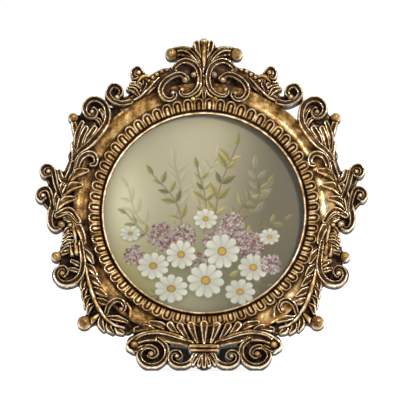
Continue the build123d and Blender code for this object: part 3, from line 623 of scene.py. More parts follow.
garland = {
    "across": (42, 104), "up": (-77, 77),
    "floors": [
        ((9.0, 9.0, 6.0), 8.0, [(108, 106), (110, 104), (122, 92)]),
        ((6.0, 9.0, 7.0), (8.0, 8.5, 8.5), [(102, 86), (116, 76), (129, 58)]),
        ((7.0, 9.0, 8.0, 6.0), (8.5, 8.5, 8.0, 8.0), [(126, 58), (136, 28), (145, 2), (149, -10)]),
        ((5.0, 8.0, 7.0, 8.0), (8.5, 8.0, 8.0, 8.0), [(142, -6), (130, -14), (125, -38), (124, -55)]),
        ((9.0, 10.0), 7.5, [(138, -62), (142, -62)]),
        ((6.0, 7.0, 6.0), 8.0, [(120, -52), (114, -82), (101, -104)]),
        ((6.0, 6.0, 5.0), 8.0, [(104, -106), (92, -114), (76, -117)]),
        ((6.0, 5.0), 8.0, [(154, 41), (150, 28)]),
        ((5.5, 5.0), 8.0, [(160, 17), (153, 8)]),
        ((5.0, 6.0), 8.0, [(105, -104), (118, -110)]),
        ((7.0, 9.0, 7.0), 8.0, [(137, -36), (135, -52), (130, -62)]),
        ((5.0, 5.0, 4.0), 8.0, [(112, -78), (103, -94), (90, -106)]),
        ((4.5, 3.5, 4.5), 8.5, [(128, 91), (124, 76), (128, 58)]),
        (8.0, 8.5, [(128, 24), (131, 8), (128, -8)]),
        (7.0, 8.5, [(93, -94), (82, -103)]),
    ],
    # painted shade: a dark floor closes this opening on the left alone, where it shows only shade
    "leftShadeFloors": [
        ((6.0, 5.0), 7.0, [(92, 101), (87, 105)]),
    ],
    "strokes": [
        ("leaf", (3.0, 3.9, 3.0), (12.5, 14.0, 13.0), [(134, 44), (129.5, 56), (131, 70)]),
        ("leaf", (2.2, 3.6, 3.2), (12.5, 13.5, 13.5), [(126, 74), (128.5, 82), (130.5, 91)]),
        ("leaf", (2.2, 3.6, 2.6), (12.5, 13.5, 13.5), [(129, 66), (127, 79), (122, 91)]),
        ("leaf", (2.4, 4.0, 3.4), (12.5, 14.0, 14.5), [(126, 64), (122, 76), (118, 85)]),
        ("leaf", (2.6, 4.4, 3.6), (12.5, 14.0, 14.5), [(120, 64), (115.5, 75), (109.5, 85)]),
        ("scrollLeaf", [(103, 88), (105, 93), (109, 96)]),
        ("scrollLeaf", [(100, 94), (101, 100), (104, 104)]),
        ("channel", (2.6, 3.2, 4.2, 4.0, 3.6, 3.4, 3.2, 2.8, 2.2),
         (13.5, 14.5, 15.0, 15.0, 15.0, 15.0, 15.0, 15.0, 14.5),
         [(132, 46), (129.5, 55), (123, 62.5), (114.5, 69), (104.5, 80), (97.5, 91), (96.5, 102),
         (100, 110.5), (107, 114.8), (114, 114.2), (119, 109), (119.5, 102.5), (116, 97.5), (110.5, 97),
         (108, 101.5), (110.5, 105)]),
        ("channel", (2.4, 3.4, 3.0, 2.4), (13.5, 15.0, 15.5, 15.0),
         [(127, 46), (123.5, 54.5), (117, 59), (111, 58.5), (108, 53.5), (109, 48.5), (112.5, 48)]),
        ("leaf", (2.6, 4.8, 5.2, 2.6), (13.0, 14.5, 15.0, 14.5),
         [(138, 29), (132, 36.5), (125.5, 40.5), (117, 42)]),
        ("vein", [(137, 31), (130, 38.5), (121, 41.5)]),
        ("leaf", (2.6, 4.8, 5.4, 2.6), (13.0, 14.5, 15.0, 14.5),
         [(144, 15), (138, 22.5), (131.5, 26.5), (123, 27.5)]),
        ("vein", [(143, 17), (136, 24.5), (127, 27)]),
        ("leaf", (2.6, 4.6, 5.0, 2.6), (13.0, 14.5, 15.0, 14.5),
         [(150, 0), (144.5, 8), (138, 12.5), (129.5, 14)]),
        ("vein", [(149, 2), (142, 10.5), (133, 13.5)]),
        ("channel", (3.0, 3.6, 4.4, 4.4, 4.0, 3.4, 2.8, 2.2),
         (14.5, 15.0, 15.0, 15.0, 15.0, 15.0, 14.5, 14.0),
         [(131, 50), (134, 40), (140, 28), (146, 17), (151, 6), (154, -3.5), (153.5, -12), (149, -16.8),
         (144, -15), (143.5, -10)]),
        ("round", (1.0, 1.6, 1.6, 1.2), (14.0, 15.0, 15.0, 14.5),
         [(133, 38), (139, 25), (145, 12), (148, 0)]),
        ("channel", (2.4, 2.9, 3.1, 2.9, 2.2), (12.5, 13.5, 14.5, 14.5, 14.0),
         [(143, 16), (147.5, 27), (149.5, 36), (152, 44.5), (158, 47), (162, 43), (160, 37.5), (155, 38)]),
        ("leaf", (2.3, 3.9, 2.8), (12.5, 13.5, 12.0), [(137, 30), (142, 33), (145, 42)]),
        ("channel", (2.2, 2.6, 3.1, 2.6, 2.2), (12.5, 13.5, 14.5, 14.5, 14.0),
         [(151, 4), (152.5, 15), (156, 23.5), (163, 23), (166.5, 17.5), (163.5, 12.5), (159.5, 15)]),
        ("tuftLeaf", [(129, -35), (136, -36), (142, -39.5)]),
        ("tuftLeaf", [(130, -29), (136, -29.5), (141, -33)]),
        ("tuftLeaf", [(131, -23), (136, -23), (140.5, -27)]),
        ("tuftLeaf", [(132, -17), (136, -17), (139.5, -21)]),
        ("round", (1.0, 2.6, 2.8), (13.0, 14.5, 14.0), [(129, -30), (128, -36), (127, -41)]),
        ("round", (1.0, 2.2, 2.4), (13.0, 14.0, 13.8), [(133.5, -33), (133, -38), (132, -42.5)]),
        ("leaf", (3.0, 5.0, 3.2), (13.5, 15.0, 14.0), [(140, -3), (129, -11), (122.5, -21), (120, -30)]),
        ("leaf", (3.6, 5.2, 3.6), (13.5, 15.0, 14.5), [(147, -3), (135, 1), (125.5, -9)]),
        ("round", (1.0, 1.5, 1.0), (14.0, 15.5, 14.0), [(144, -1), (134, -1), (127, -9)]),
        ("round", (1.2, 2.0, 2.0, 1.4), (14.0, 15.5, 15.0, 14.0),
         [(140, -7), (132, -12), (129.5, -20), (128, -30)]),
        ("leaf", (2.0, 3.0, 2.6), (12.5, 13.5, 14.0), [(136, -40), (141, -41), (146, -44)]),
        ("leaf", (1.8, 3.0, 2.2), (12.0, 13.0, 12.5), [(123, -54), (128, -51), (132, -49)]),
        ("leaf", (1.8, 3.0, 2.0), (12.0, 13.0, 12.5), [(124, -60), (129, -58), (134, -57)]),
        ("outerLeaf", [(118, -66), (121, -72), (121, -79)]),
        ("outerLeaf", [(116, -75), (119.5, -80), (120, -87)]),
        ("outerLeaf", [(113, -84), (117.5, -88), (118.5, -95)]),
        ("outerLeaf", [(110, -92), (114.5, -96), (116, -102)]),
        ("lowerLeaf", [(102, -104), (103, -112), (100, -118.5)]),
        ("lowerLeaf", [(95, -109), (95, -116), (91, -121)]),
        ("lowerLeaf", [(87, -113), (86, -118), (81, -121.5)]),
        ("leaf", (2.0, 4.0, 1.9), (13.0, 14.0, 13.0), [(96, -106), (87, -107), (77.5, -110)]),
        ("innerLeaf", [(109, -87), (101, -90.5), (93.5, -92.5)]),
        ("innerLeaf", [(112.5, -76), (105, -80), (97.5, -84.5)]),
        ("innerLeaf", [(115.5, -64), (109.5, -68), (103.5, -74)]),
        ("innerLeaf", [(117.5, -53), (112.5, -57), (107.5, -63.5)]),
        ("leaf", (2.2, 4.4, 2.0), (13.5, 14.5, 14.0), [(119.5, -38), (115, -43.5), (111, -51)]),
        ("channel", (2.4, 2.9, 2.6, 2.0), (13.5, 15.0, 15.0, 14.5),
         [(98, -102), (95, -94), (88.5, -89), (82, -90), (79, -95.5), (81, -100)]),
        ("round", (1.6, 2.2, 1.6), (12.5, 13.2, 12.5), [(77, -92), (73.5, -98), (74, -105)]),
        ("round", (1.6, 2.6, 2.6, 2.2, 1.8), (14.0, 15.5, 15.5, 15.0, 14.0),
         [(117.5, -54), (116.5, -64), (113, -77), (108, -91), (99.7, -105), (90, -113.5), (80, -116.5)]),
        ("channel", (2.6, 3.0, 3.6, 3.8, 3.4, 3.0, 2.6, 2.2),
         (13.5, 15.0, 15.0, 15.0, 15.0, 15.0, 14.5, 14.0),
         [(123, -30), (121.5, -42), (120.5, -52), (122.5, -62), (128, -69), (136, -72), (143.5, -70.5),
         (148, -64), (146, -57.5), (140.5, -55.5), (137, -59.5), (140, -64)]),
        ("round", (2.4, 3.2, 2.8), (12.5, 13.5, 13.5), [(105, -103), (111, -108), (116, -111)]),
    ],
    "balls": [
        (131, 96.5, 5.2, 15.0), (112, 102, 2.8, 15.2), (155.5, 41.5, 3.2, 14.8), (161, 17, 3.0, 14.8),
        (142.5, -12, 3.8, 15.2), (147.5, -44, 5.4, 15.0), (141.5, -61.5, 3.4, 15.0),
        (119.5, -110.5, 7.2, 15.0), (133.5, -13, 3.0, 15.0), (82.5, -98, 2.6, 15.0),
    ],
}

cartouche = {
    "across": (-50, 50), "up": (-101, -66),
    "floors": [
        (7.0, 8.5, [(0, -124), (25, -122), (48, -123), (70, -130)]),
        (14.0, 7.5, [(52, -147), (53, -147)]),
        (5.0, 8.0, [(42, -131), (58, -135)]),
        (5.0, 8.0, [(64, -117), (74, -114)]),
        ((5.0, 6.0), 7.5, [(0, -136), (0, -156)]),
        (6.0, 8.0, [(70, -132), (71, -132)]),
    ],
    "leftShadeFloors": [],
    "strokes": [
        ("footLeaf", [(46, -123), (57, -116.5), (68, -118)]),
        ("footLeaf", [(34, -121), (43, -114), (53, -111.5)]),
        ("leaf", (1.6, 3.2, 4.6), (12.5, 14.5, 15.5), [(22, -129), (29, -121), (34, -114.5)]),
        ("leaf", (1.6, 3.0, 4.4), (12.5, 14.5, 15.5), [(15, -130), (20, -122), (24, -115.5)]),
        ("leaf", (1.6, 3.0, 4.6), (12.5, 14.5, 15.5), [(7, -131), (10.5, -122), (13, -114.5)]),
        ("leaf", (1.6, 3.0, 4.8), (12.5, 15.0, 15.5), [(0, -132), (0, -122), (0, -113.5)]),
        ("channel", (3.3, 6.2, 6.6, 5.5, 4.0), (12.5, 14.5, 15.0, 15.0, 14.5),
         [(13, -133), (29, -127.5), (44, -124.5), (57, -125), (67, -128.5), (74, -135), (70, -140)]),
        ("round", (1.0, 1.5, 1.2), (14.0, 16.0, 15.5), [(18, -129.5), (42, -123), (60, -124), (71, -131)]),
        ("channel", (2.6, 2.9, 3.1, 2.9, 2.6, 2.2), (13.0, 14.5, 15.0, 15.0, 14.5, 14.0),
         [(45, -128), (38.5, -135), (37, -144), (40, -153), (47, -159), (55.5, -159.5), (62, -155),
         (65, -147), (62, -139.5), (55.5, -136.5), (49, -139), (47, -145), (51, -149), (55, -147)]),
        ("channel", (2.4, 2.9, 3.1, 2.9, 2.4, 2.1), (13.0, 14.5, 15.0, 15.0, 14.5, 14.0),
         [(8, -138), (9, -145), (12, -153), (18.5, -158.5), (26.5, -159), (32.5, -155), (34, -148.5),
         (31, -143.5), (26, -143), (23, -147.5), (26, -151)]),
        ("leaf", (2.0, 3.4, 2.4), (12.0, 13.5, 12.5), [(1.5, -143), (3, -151), (5, -158)]),
        ("leaf", (1.9, 3.1, 2.2), (11.5, 13.0, 12.0), [(4, -143), (8, -150), (11, -156.5)]),
        ("leaf", (2.0, 3.4, 2.4), (12.0, 14.0, 13.0), [(0, -143), (0, -152), (0, -159.5)]),
        ("round", 2.6, (14.5, 14.0), [(-13.5, -136), (0, -136.5), (13.5, -136)]),
        ("round", 2.2, (14.0, 13.5), [(-13, -140.8), (0, -141.2), (13, -140.8)]),
        ("channel", (2.2, 2.6, 2.2), (12.0, 13.5, 13.0), [(60, -136), (66, -140), (69, -141)]),
    ],
    "balls": [
        (70, -134, 4.6, 15.6), (53, -145.5, 3.4, 15.2), (27, -148, 2.8, 14.8),
    ],
}


# How the drawing is laid on the two halves: what hangs lowest is pressed up, to stand on the table, and the
# right garland is drawn in a little, more or less with its height
halves = {
    "pressBelow": -130, "pressed": 0.83,
    "tuckedAt": (-120, -60, 0, 60, 100), "tucked": (0.945, 0.95, 0.965, 0.985, 1.01),
}


# Where a point of the left half goes on either side
def mirrored(side, tucked):
    def place(point):
        out, up = point
        up = max(up, halves["pressBelow"]) + min(up - halves["pressBelow"], 0) * halves["pressed"]
        draw = np.interp(up, halves["tuckedAt"], halves["tucked"]) if tucked and side > 0 else 1
        return (side * out * draw * hundredth, up * hundredth)

    return place


def carve(name, pattern, sides, tucked=False):
    relief = Relief(name, sorted(sides[0] * edge for edge in pattern["across"]), pattern["up"])
    for side in sides:
        for widths, crown, points in pattern["floors"] + (pattern["leftShadeFloors"] if side < 0 else []):
            relief.stroke(points, widths, crown, "flat", mirrored(side, tucked))
    for side in sides:
        for *kind, points in pattern["strokes"]:
            section, widths, crown = strokeKinds.get(kind[0], kind)
            relief.stroke(points, widths, crown, section, mirrored(side, tucked))
    for side in sides:
        for *middle, radius, crown in pattern["balls"]:
            relief.ball(mirrored(side, tucked)(middle), radius, crown)
    return relief.finish()


gilded = [carve("crestCarving", crest, (-1, 1)), carve("cartoucheCarving", cartouche, (-1, 1))]
for side, name in ((-1, "leftGarland"), (1, "rightGarland")):
    gilded.append(carve(name, garland, (side,), tucked=True))
print("carving made")
gilded.append(makeRing())
print("ring made")
for piece in gilded:
    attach(piece, "frame")
    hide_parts("frame_casting")


# Printed sheet: a fine round grid whose points carry the colours, painted stroke by stroke
sheet = {
    "radius": 62.9, "front": 5.37, "thickness": 0.24, "cell": 0.42, "edgeCell": 0.35, "seed": 8,
    # painted shade: the ground darkens towards the right and towards the rim
    "middle": (184, 173, 143), "shade": (104, 94, 70), "shadeFrom": -6, "shadeRun": 50, "shadeSlant": 0.15,
    "edge": (98, 88, 64), "rimShadeFrom": 50, "rimShadeRun": 14, "rimShadeStrength": 0.4,
    "patches": [  # middle, half sizes, strength, colour
        ((-46, -36), (24, 22), 0.95, (212, 195, 116)), ((44, -38), (22, 24), 0.8, (92, 78, 50)),
        # painted reflection: the pale patch at the left edge
        ((-50, 6), (18, 32), 0.9, (240, 231, 196)), ((-14, 40), (14, 18), 0.25, (214, 207, 186)),
        ((2, -34), (44, 16), 0.7, (112, 112, 72)), ((4, -14), (34, 14), 0.35, (142, 140, 96)),
    ],
    "sprigs": [  # root, tip, bow to the side, pairs of leaves, leaf length, strength
        ((6, -16), (20, 42), 4, 5, 12.0, 0.95), ((0, -12), (-4, 28), -3, 4, 10.0, 0.9),
        ((-12, -14), (-31, 24), -5, 4, 10.5, 0.85), ((16, -14), (39, 18), 5, 4, 10.0, 0.8),
        ((22, -20), (49, -4), 4, 3, 9.0, 0.75), ((-20, -20), (-47, 0), 3, 3, 9.0, 0.7),
        ((-6, -40), (-36, -52), 2, 3, 9.0, 0.9), ((8, -36), (38, -44), -2, 3, 9.0, 0.9),
    ],
    "faintSprigs": [
        ((-2, -4), (8, 34), 5, 4, 13.0, 0.4), ((-18, -6), (-18, 32), -4, 4, 13.0, 0.35),
        ((26, -8), (31, 28), -5, 4, 12.0, 0.35), ((-30, -12), (-46, 16), 4, 3, 12.0, 0.35),
    ],
    "backBlossoms": [  # middle, half sizes, number of florets
        ((17, -9), (8.0, 10.0), 300), ((29, -19), (8.5, 8.0), 260), ((-26, -14), (8.0, 9.0), 280),
        ((-12, -14), (7.0, 7.5), 200), ((6, -18), (7.0, 7.0), 180), ((-42, -26), (6.5, 6.5), 150),
    ],
    "backDaisies": [  # middle, radius, petals, turn, squash
        ((-45, -12), 6.5, 9, 0.5, 0.75), ((1, -3), 7.5, 9, 0.2, 0.85), ((40, -14), 6.5, 9, 0.1, 0.8),
        ((-31, -32), 10.0, 10, 0.2, 0.85), ((30, -33), 9.5, 10, 0.6, 0.9),
    ],
    "frontBlossoms": [((41, -31), (7.0, 6.0), 150), ((-3, -30), (8.0, 6.0), 160)],
    "frontDaisies": [
        ((-14, -25), 9.5, 10, 0.4, 0.95), ((11, -23), 11.0, 10, 0.1, 1.0), ((-20, -46), 10.5, 10, 0.3, 0.85),
        ((1, -41), 11.5, 10, 0.5, 0.95), ((22, -48), 9.5, 9, 0.0, 0.85),
    ],
}

# Sprigs: the stem's width, soft edges and the vein in mm, the rest in shares of a leaf, the stem or the light
sprigBrush = {
    "tones": ((148, 136, 70), (166, 152, 84), (118, 110, 58), (180, 166, 104)), "ghost": (186, 182, 148),
    "faint": 0.5, "stem": (122, 100, 72), "stemWidth": 0.45, "stemTaper": 0.6, "stemStrength": 0.8,
    "stemSoft": 0.35, "stemFull": 0.4, "soft": 0.5, "belly": 0.8, "sideLight": 0.1, "tipLight": 0.15,
    "vein": 0.3, "veinDark": 0.22, "first": 0.3, "run": 0.68, "spread": (0.5, 1.0), "length": (0.75, 1.1),
    "shrink": 0.25, "offStem": 0.3, "width": 0.21, "tipTurn": 0.1, "tipLength": 0.8, "tipWidth": 0.17,
}

# Clustered blossoms: each floret a dab, its radius and soft edge in mm
floretBrush = {
    "tones": ((202, 184, 188), (156, 110, 112), (222, 210, 210), (122, 56, 56), (184, 152, 154)),
    "size": (0.6, 1.05), "soft": 0.4, "strength": 0.85, "light": 1.06, "dark": 0.25, "reach": 3,
}

# Daisies: soft edges in mm, the rest in shares of the radius and of the light
daisyBrush = {
    "petal": (250, 247, 236), "petalShade": (186, 180, 158), "notch": 0.7, "lobePower": 0.45, "soft": 0.45,
    "middleLight": 0.3, "gapLight": 0.45, "lobeLight": 0.8, "waves": 0.14, "lightFrom": -20, "lightRun": 70,
    "lightLoss": 0.13, "shadow": (96, 92, 70), "shadowMove": (0.6, -0.9), "shadowReach": 1.15,
    "shadowSoft": 0.3, "shadowStrength": 0.3,
    "eyeRim": (150, 108, 36), "eyeRimRadius": 0.27, "eye": (206, 166, 62), "eyeRadius": 0.21, "eyeSoft": 0.5,
}


class Painting:
    def __init__(self, x, y):
        self.x, self.y = x, y
        self.colour = np.zeros((len(x), 3))

    def lay(self, mask, colour):
        share = np.clip(mask, 0, 1)[:, None]
        self.colour = self.colour * (1 - share) + np.asarray(colour, float) * share

    def patch(self, middle, half, strength, colour):
        reach = ((self.x - middle[0]) / half[0]) ** 2 + ((self.y - middle[1]) / half[1]) ** 2
        self.lay(np.exp(-reach) * strength, colour)

    def ground(self):
        slanted = self.x - sheet["shadeSlant"] * self.y
        right = np.clip((slanted - sheet["shadeFrom"]) / sheet["shadeRun"], 0, 1)
        self.lay(np.ones(len(self.x)), sheet["middle"])
        # painted shade: darker towards the right
        self.lay(right**2 * (3 - 2 * right), sheet["shade"])
        for values in sheet["patches"]:
            self.patch(*values)
        # painted shade: darker towards the rim
        rim = np.clip((np.hypot(self.x, self.y) - sheet["rimShadeFrom"]) / sheet["rimShadeRun"], 0, 1) ** 2
        self.lay(rim * sheet["rimShadeStrength"], sheet["edge"])

    def leaf(self, root, angle, length, width, tone, strength):
        brush = sprigBrush
        dx, dy = self.x - root[0], self.y - root[1]
        along = (dx * math.cos(angle) + dy * math.sin(angle)) / length
        beside = dy * math.cos(angle) - dx * math.sin(angle)
        half = width * np.sin(math.pi * np.clip(along, 0, 1) ** brush["belly"])
        vein = brush["veinDark"] * hump(beside, 0, brush["vein"])
        shade = 1 + brush["sideLight"] * np.sign(beside) - vein + brush["tipLight"] * (along - 0.5)
        mask = np.clip((half - np.abs(beside)) / brush["soft"], 0, 1) * (along > 0) * (along < 1)
        self.lay(mask * strength, np.clip(np.outer(shade, tone), 0, 255))

    def stem(self, line, strength):
        width = sprigBrush["stemWidth"]
        _, distance, _, _ = nearestOnLine(self.x, self.y, line, [width, width * sprigBrush["stemTaper"]])
        mask = np.clip((width - abs(distance)) / sprigBrush["stemSoft"] + sprigBrush["stemFull"], 0, 1)
        self.lay(mask * strength * sprigBrush["stemStrength"], sprigBrush["stem"])

    def sprig(self, rng, root, tip, bow, pairs, length, strength):
        brush = sprigBrush
        root, tip = np.array(root, float), np.array(tip, float)
        run = tip - root
        heading = math.atan2(run[1], run[0])
        side = np.array((-run[1], run[0])) / np.hypot(*run)
        line = smoothLine([root, (root + tip) / 2 + side * bow, tip], count=7)
        tones = brush["tones"] if strength > brush["faint"] else (brush["ghost"],)
        self.stem(line, strength)
        for k in range(pairs):
            place = line[int(len(line) * (brush["first"] + brush["run"] * k / pairs))]
            for hand in (-1, 1):
                spread = hand * rng.uniform(*brush["spread"])
                size = length * rng.uniform(*brush["length"]) * (1 - brush["shrink"] * k / pairs)
                tone = tones[rng.integers(len(tones))]
                start = place + side * hand * brush["offStem"]
                self.leaf(start, heading + spread, size, size * brush["width"], tone, strength)
        size = length * brush["tipLength"]
        self.leaf(tip, heading + brush["tipTurn"], size, length * brush["tipWidth"], tones[0], strength)

    def blossom(self, rng, middle, half, florets):
        brush = floretBrush
        for _ in range(florets):
            turn, reach = rng.uniform(0, 2 * math.pi), math.sqrt(rng.uniform(0, 1))
            x = middle[0] + half[0] * reach * math.cos(turn)
            y = middle[1] + half[1] * reach * math.sin(turn)
            tone = np.array(brush["tones"][rng.integers(len(brush["tones"]))], float)
            size = rng.uniform(*brush["size"])
            near = np.abs(self.x - x) + np.abs(self.y - y) < brush["reach"] * size
            distance = np.hypot(self.x[near] - x, self.y[near] - y)
            share = (np.clip((size - distance) / brush["soft"], 0, 1) * brush["strength"])[:, None]
            light = (brush["light"] - brush["dark"] * distance / size)[:, None]
            self.colour[near] = self.colour[near] * (1 - share) + tone * light * share

    def daisy(self, middle, radius, petals, turn, squash):
        brush = daisyBrush
        dx, dy = self.x - middle[0], (self.y - middle[1]) / squash
        reach, angle = np.hypot(dx, dy) / radius, np.arctan2(dy, dx)
        lobe = np.abs(np.cos(petals * (angle - turn) / 2))
        outline = brush["notch"] + (1 - brush["notch"]) * lobe ** brush["lobePower"] - reach
        away = np.hypot(dx - brush["shadowMove"][0], dy - brush["shadowMove"][1]) / radius
        shadow = np.clip((brush["shadowReach"] - away) / brush["shadowSoft"], 0, 1)
        self.lay(shadow * brush["shadowStrength"], brush["shadow"])
        shade = np.clip(between(brush["middleLight"], 1, reach), 0, 1)
        shade *= np.clip(brush["gapLight"] + brush["lobeLight"] * lobe, 0, 1)
        waves = np.cos(3 * angle + middle[0]) * np.cos(2 * angle + middle[1])
        shade *= between(1, waves, brush["waves"])
        tone = np.outer(1 - shade, brush["petalShade"]) + np.outer(shade, brush["petal"])
        tone *= 1 - brush["lightLoss"] * np.clip((middle[0] - brush["lightFrom"]) / brush["lightRun"], 0, 1)
        self.lay(np.clip(outline * radius / brush["soft"], 0, 1), tone)
        self.lay(np.clip((brush["eyeRimRadius"] - reach) * radius / brush["soft"], 0, 1), brush["eyeRim"])
        self.lay(np.clip((brush["eyeRadius"] - reach) * radius / brush["eyeSoft"], 0, 1), brush["eye"])


# Screen colours, 0 to 255, to the linear ones of a shader
def linear(colours):
    share = np.clip(colours / 255, 0, 1)
    return np.where(share < 0.04045, share / 12.92, ((share + 0.055) / 1.055) ** 2.4)


def paintPrint(x, y):
    rng = np.random.default_rng(sheet["seed"])
    painting = Painting(x, y)
    painting.ground()
    for values in sheet["faintSprigs"] + sheet["sprigs"]:
        painting.sprig(rng, *values)
    for layer in ("back", "front"):
        for values in sheet[layer + "Blossoms"]:
            painting.blossom(rng, *values)
        for values in sheet[layer + "Daisies"]:
            painting.daisy(*values)
    return linear(painting.colour)


def makePrint():
    radius, cell = sheet["radius"], sheet["cell"]
    line = np.arange(-radius - cell, radius + 2 * cell, cell)
    gridX, gridY = np.meshgrid(line, line)
    middleX, middleY = ((grid[:-1, :-1] + grid[1:, 1:]) / 2 for grid in (gridX, gridY))
    used, count, corners = cellCorners(np.hypot(middleX, middleY) < radius - sheet["edgeCell"] * cell)
    points = np.column_stack([gridX[used], gridY[used], np.full(used.sum(), sheet["front"])])
    rim = count[used] < 4
    points[rim, :2] *= (radius / np.hypot(points[rim, 0], points[rim, 1]))[:, None]
    piece = addPiece("photoPrint", placeOnFace(points), np.column_stack(corners).tolist())
    colours = np.ones((len(points), 4))
    colours[:, :3] = paintPrint(points[:, 0], points[:, 1])
    layer = piece.data.color_attributes.new("paint", "FLOAT_COLOR", "POINT")
    layer.data.foreach_set("color", colours.astype(np.float32).ravel())
    selectOnly(piece)
    bpy.ops.object.mode_set(mode="EDIT")
    bpy.ops.mesh.select_all(action="DESELECT")
    bpy.ops.mesh.select_mode(type="EDGE")
    bpy.ops.mesh.select_non_manifold()
    bpy.ops.mesh.extrude_region_move(TRANSFORM_OT_translate={"value": -toViewer * sheet["thickness"] * mm})
    bpy.ops.mesh.edge_face_add()
    bpy.ops.object.mode_set(mode="OBJECT")
    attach(piece, "frame")
    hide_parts("photo_print")
    print("print painted", len(piece.data.polygons), "faces")
    return piece


photoPrint = makePrint()


# Stay ribbon, drawn tight from the board to the leg: its middle line on the plane X = 0
ribbon = {
    "width": 10.0, "thickness": 0.26, "edgeShare": 0.55, "rows": 10, "step": 0.7,
    "line": [(13.405, 49.653), (10.910, 37.915), (50.231, 36.446), (49.015, 43.340)],  # Y, Z in mm
}


# Points along the ribbon's middle line, a step apart, and the length of the line
def ribbonStations():
    corners = [np.array(p) for p in ribbon["line"]]
    stations, length = [], 0
    for first, last in zip(corners, corners[1:]):
        run = np.hypot(*(last - first))
        count = max(2, int(run / ribbon["step"]))
        stations += [first + (last - first) * k / count for k in range(count)]
        length += run
    return np.array(stations + [corners[-1]]), length


def makeRibbon():
    stations, length = ribbonStations()
    runs = np.gradient(stations, axis=0)
    runs /= np.hypot(*runs.T)[:, None]
    normals = np.column_stack([-runs[:, 1], runs[:, 0]])
    shares = np.linspace(-1, 1, ribbon["rows"] + 1)
    outline = [(s, 1) for s in shares] + [(s, -1) for s in shares[::-1]]
    size = len(outline)
    points, ways = [], []
    travelled = np.concatenate([[0], np.cumsum(np.hypot(*np.diff(stations, axis=0).T))])
    for place, normal, way in zip(stations, normals, travelled):
        for share, face in outline:
            thin = ribbon["edgeShare"] if abs(share) == 1 else 1
            y, z = place + normal * face * thin * ribbon["thickness"] / 2
            side = share * ribbon["width"] / 2
            points.append((side * mm, y * mm, z * mm))
            ways.append((side, way))
    faces = []
    last = (len(stations) - 1) * size
    for start in range(0, last, size):
        for j in range(size):
            a, b = start + j, start + (j + 1) % size
            faces.append((a, b, b + size, a + size))
    faces += [tuple(range(size))[::-1], tuple(range(last, last + size))]
    piece = addPiece("stayRibbon", points, faces, smoothAngle=60)
    uv = piece.data.uv_layers.new(name="weave")
    corner = np.empty(len(piece.data.loops), int)
    piece.data.loops.foreach_get("vertex_index", corner)
    uv.data.foreach_set("uv", np.array(ways, np.float32)[corner].ravel())
    selectOnly(piece)
    bpy.ops.object.mode_set(mode="EDIT")
    bpy.ops.mesh.select_all(action="SELECT")
    bpy.ops.mesh.normals_make_consistent(inside=False)
    bpy.ops.object.mode_set(mode="OBJECT")
    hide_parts("stay_ribbon")
    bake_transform(piece)
    return piece


stayRibbon = makeRibbon()
print("ribbon made")


# A value of a shader: sums, differences and products of tones add Math nodes
class Tone:
    def __init__(self, finish, socket):
        self.finish, self.socket = finish, socket

    def math(self, operation, first, second):
        return self.finish.node("ShaderNodeMath", {"operation": operation}, {0: first, 1: second})

    def __add__(self, other):
        return self.math("ADD", self, other)

    __radd__ = __add__

    def __sub__(self, other):
        return self.math("SUBTRACT", self, other)

    def __rsub__(self, other):
        return self.math("SUBTRACT", other, self)

    def __mul__(self, other):
        return self.math("MULTIPLY", self, other)

    __rmul__ = __mul__


class Finish:
    def __init__(self, name, **constants):
        self.material = bpy.data.materials.new(name)
        self.material.use_nodes = True
        self.tree = self.material.node_tree
        self.shader = self.tree.nodes["Principled BSDF"]
        self.place = self.node("ShaderNodeTexCoord", output="Object")
        for key, value in constants.items():
            self.shader.inputs[key].default_value = value

    def node(self, kind, settings=None, values=None, output=0):
        made = self.tree.nodes.new(kind)
        for key, value in (settings or {}).items():
            if key == "stops":
                stops = made.color_ramp.elements
                while len(stops) < len(value):
                    stops.new(1)
                for stop, (position, colour) in zip(stops, value):
                    stop.position, stop.color = position, (*colour, 1)
            else:
                setattr(made, key, value)
        for key, value in (values or {}).items():
            self.feed(made.inputs[key], value)
        return Tone(self, made.outputs[output])

    def feed(self, slot, value):
        if isinstance(value, Tone):
            self.tree.links.new(value.socket, slot)
        else:
            slot.default_value = value

    def noise(self, scale, detail=3.0, rough=0.6, vector=None):
        values = {"Vector": vector or self.place, "Scale": scale, "Detail": detail, "Roughness": rough}
        return self.node("ShaderNodeTexNoise", None, values)

    def mix(self, share, first, second, blend="MIX"):
        first, second = (v if isinstance(v, Tone) else (*v, 1) for v in (first, second))
        settings = {"data_type": "RGBA", "blend_type": blend}
        return self.node("ShaderNodeMix", settings, {0: share, 6: first, 7: second}, output=2)

    def within(self, value):
        return self.node("ShaderNodeClamp", None, {"Value": value})

    def stretched(self, scale):
        return self.node("ShaderNodeMapping", None, {"Vector": self.place, "Scale": scale})

    def bump(self, height, strength, distance):
        values = {"Height": height, "Strength": strength, "Distance": distance}
        return self.node("ShaderNodeBump", None, values)

    def dress(self, **inputs):
        for key, value in inputs.items():
            self.feed(self.shader.inputs[key], value)
        return self.material


# Antique gilding: leaf over dark umber, rubbed bare on what stands out and mottled on the plain cove
gilt = {
    "mottleScale": 210, "grainScale": 1100, "mottle": 1.5, "grain": 0.6, "mottleBump": 0.5,
    "bump": (0.22, 0.0003),  # strength and depth in metres, here and in the other finishes
    "stops": [
        (0.0, (0.013, 0.0055, 0.0025)), (0.25, (0.055, 0.024, 0.008)), (0.5, (0.23, 0.12, 0.033)),
        (0.75, (0.54, 0.35, 0.13)), (1.0, (0.97, 0.87, 0.68)),
    ],
    "metallic": (0.3, 0.5), "roughness": (0.58, -0.26),  # on the umber, and the change to bare leaf
}


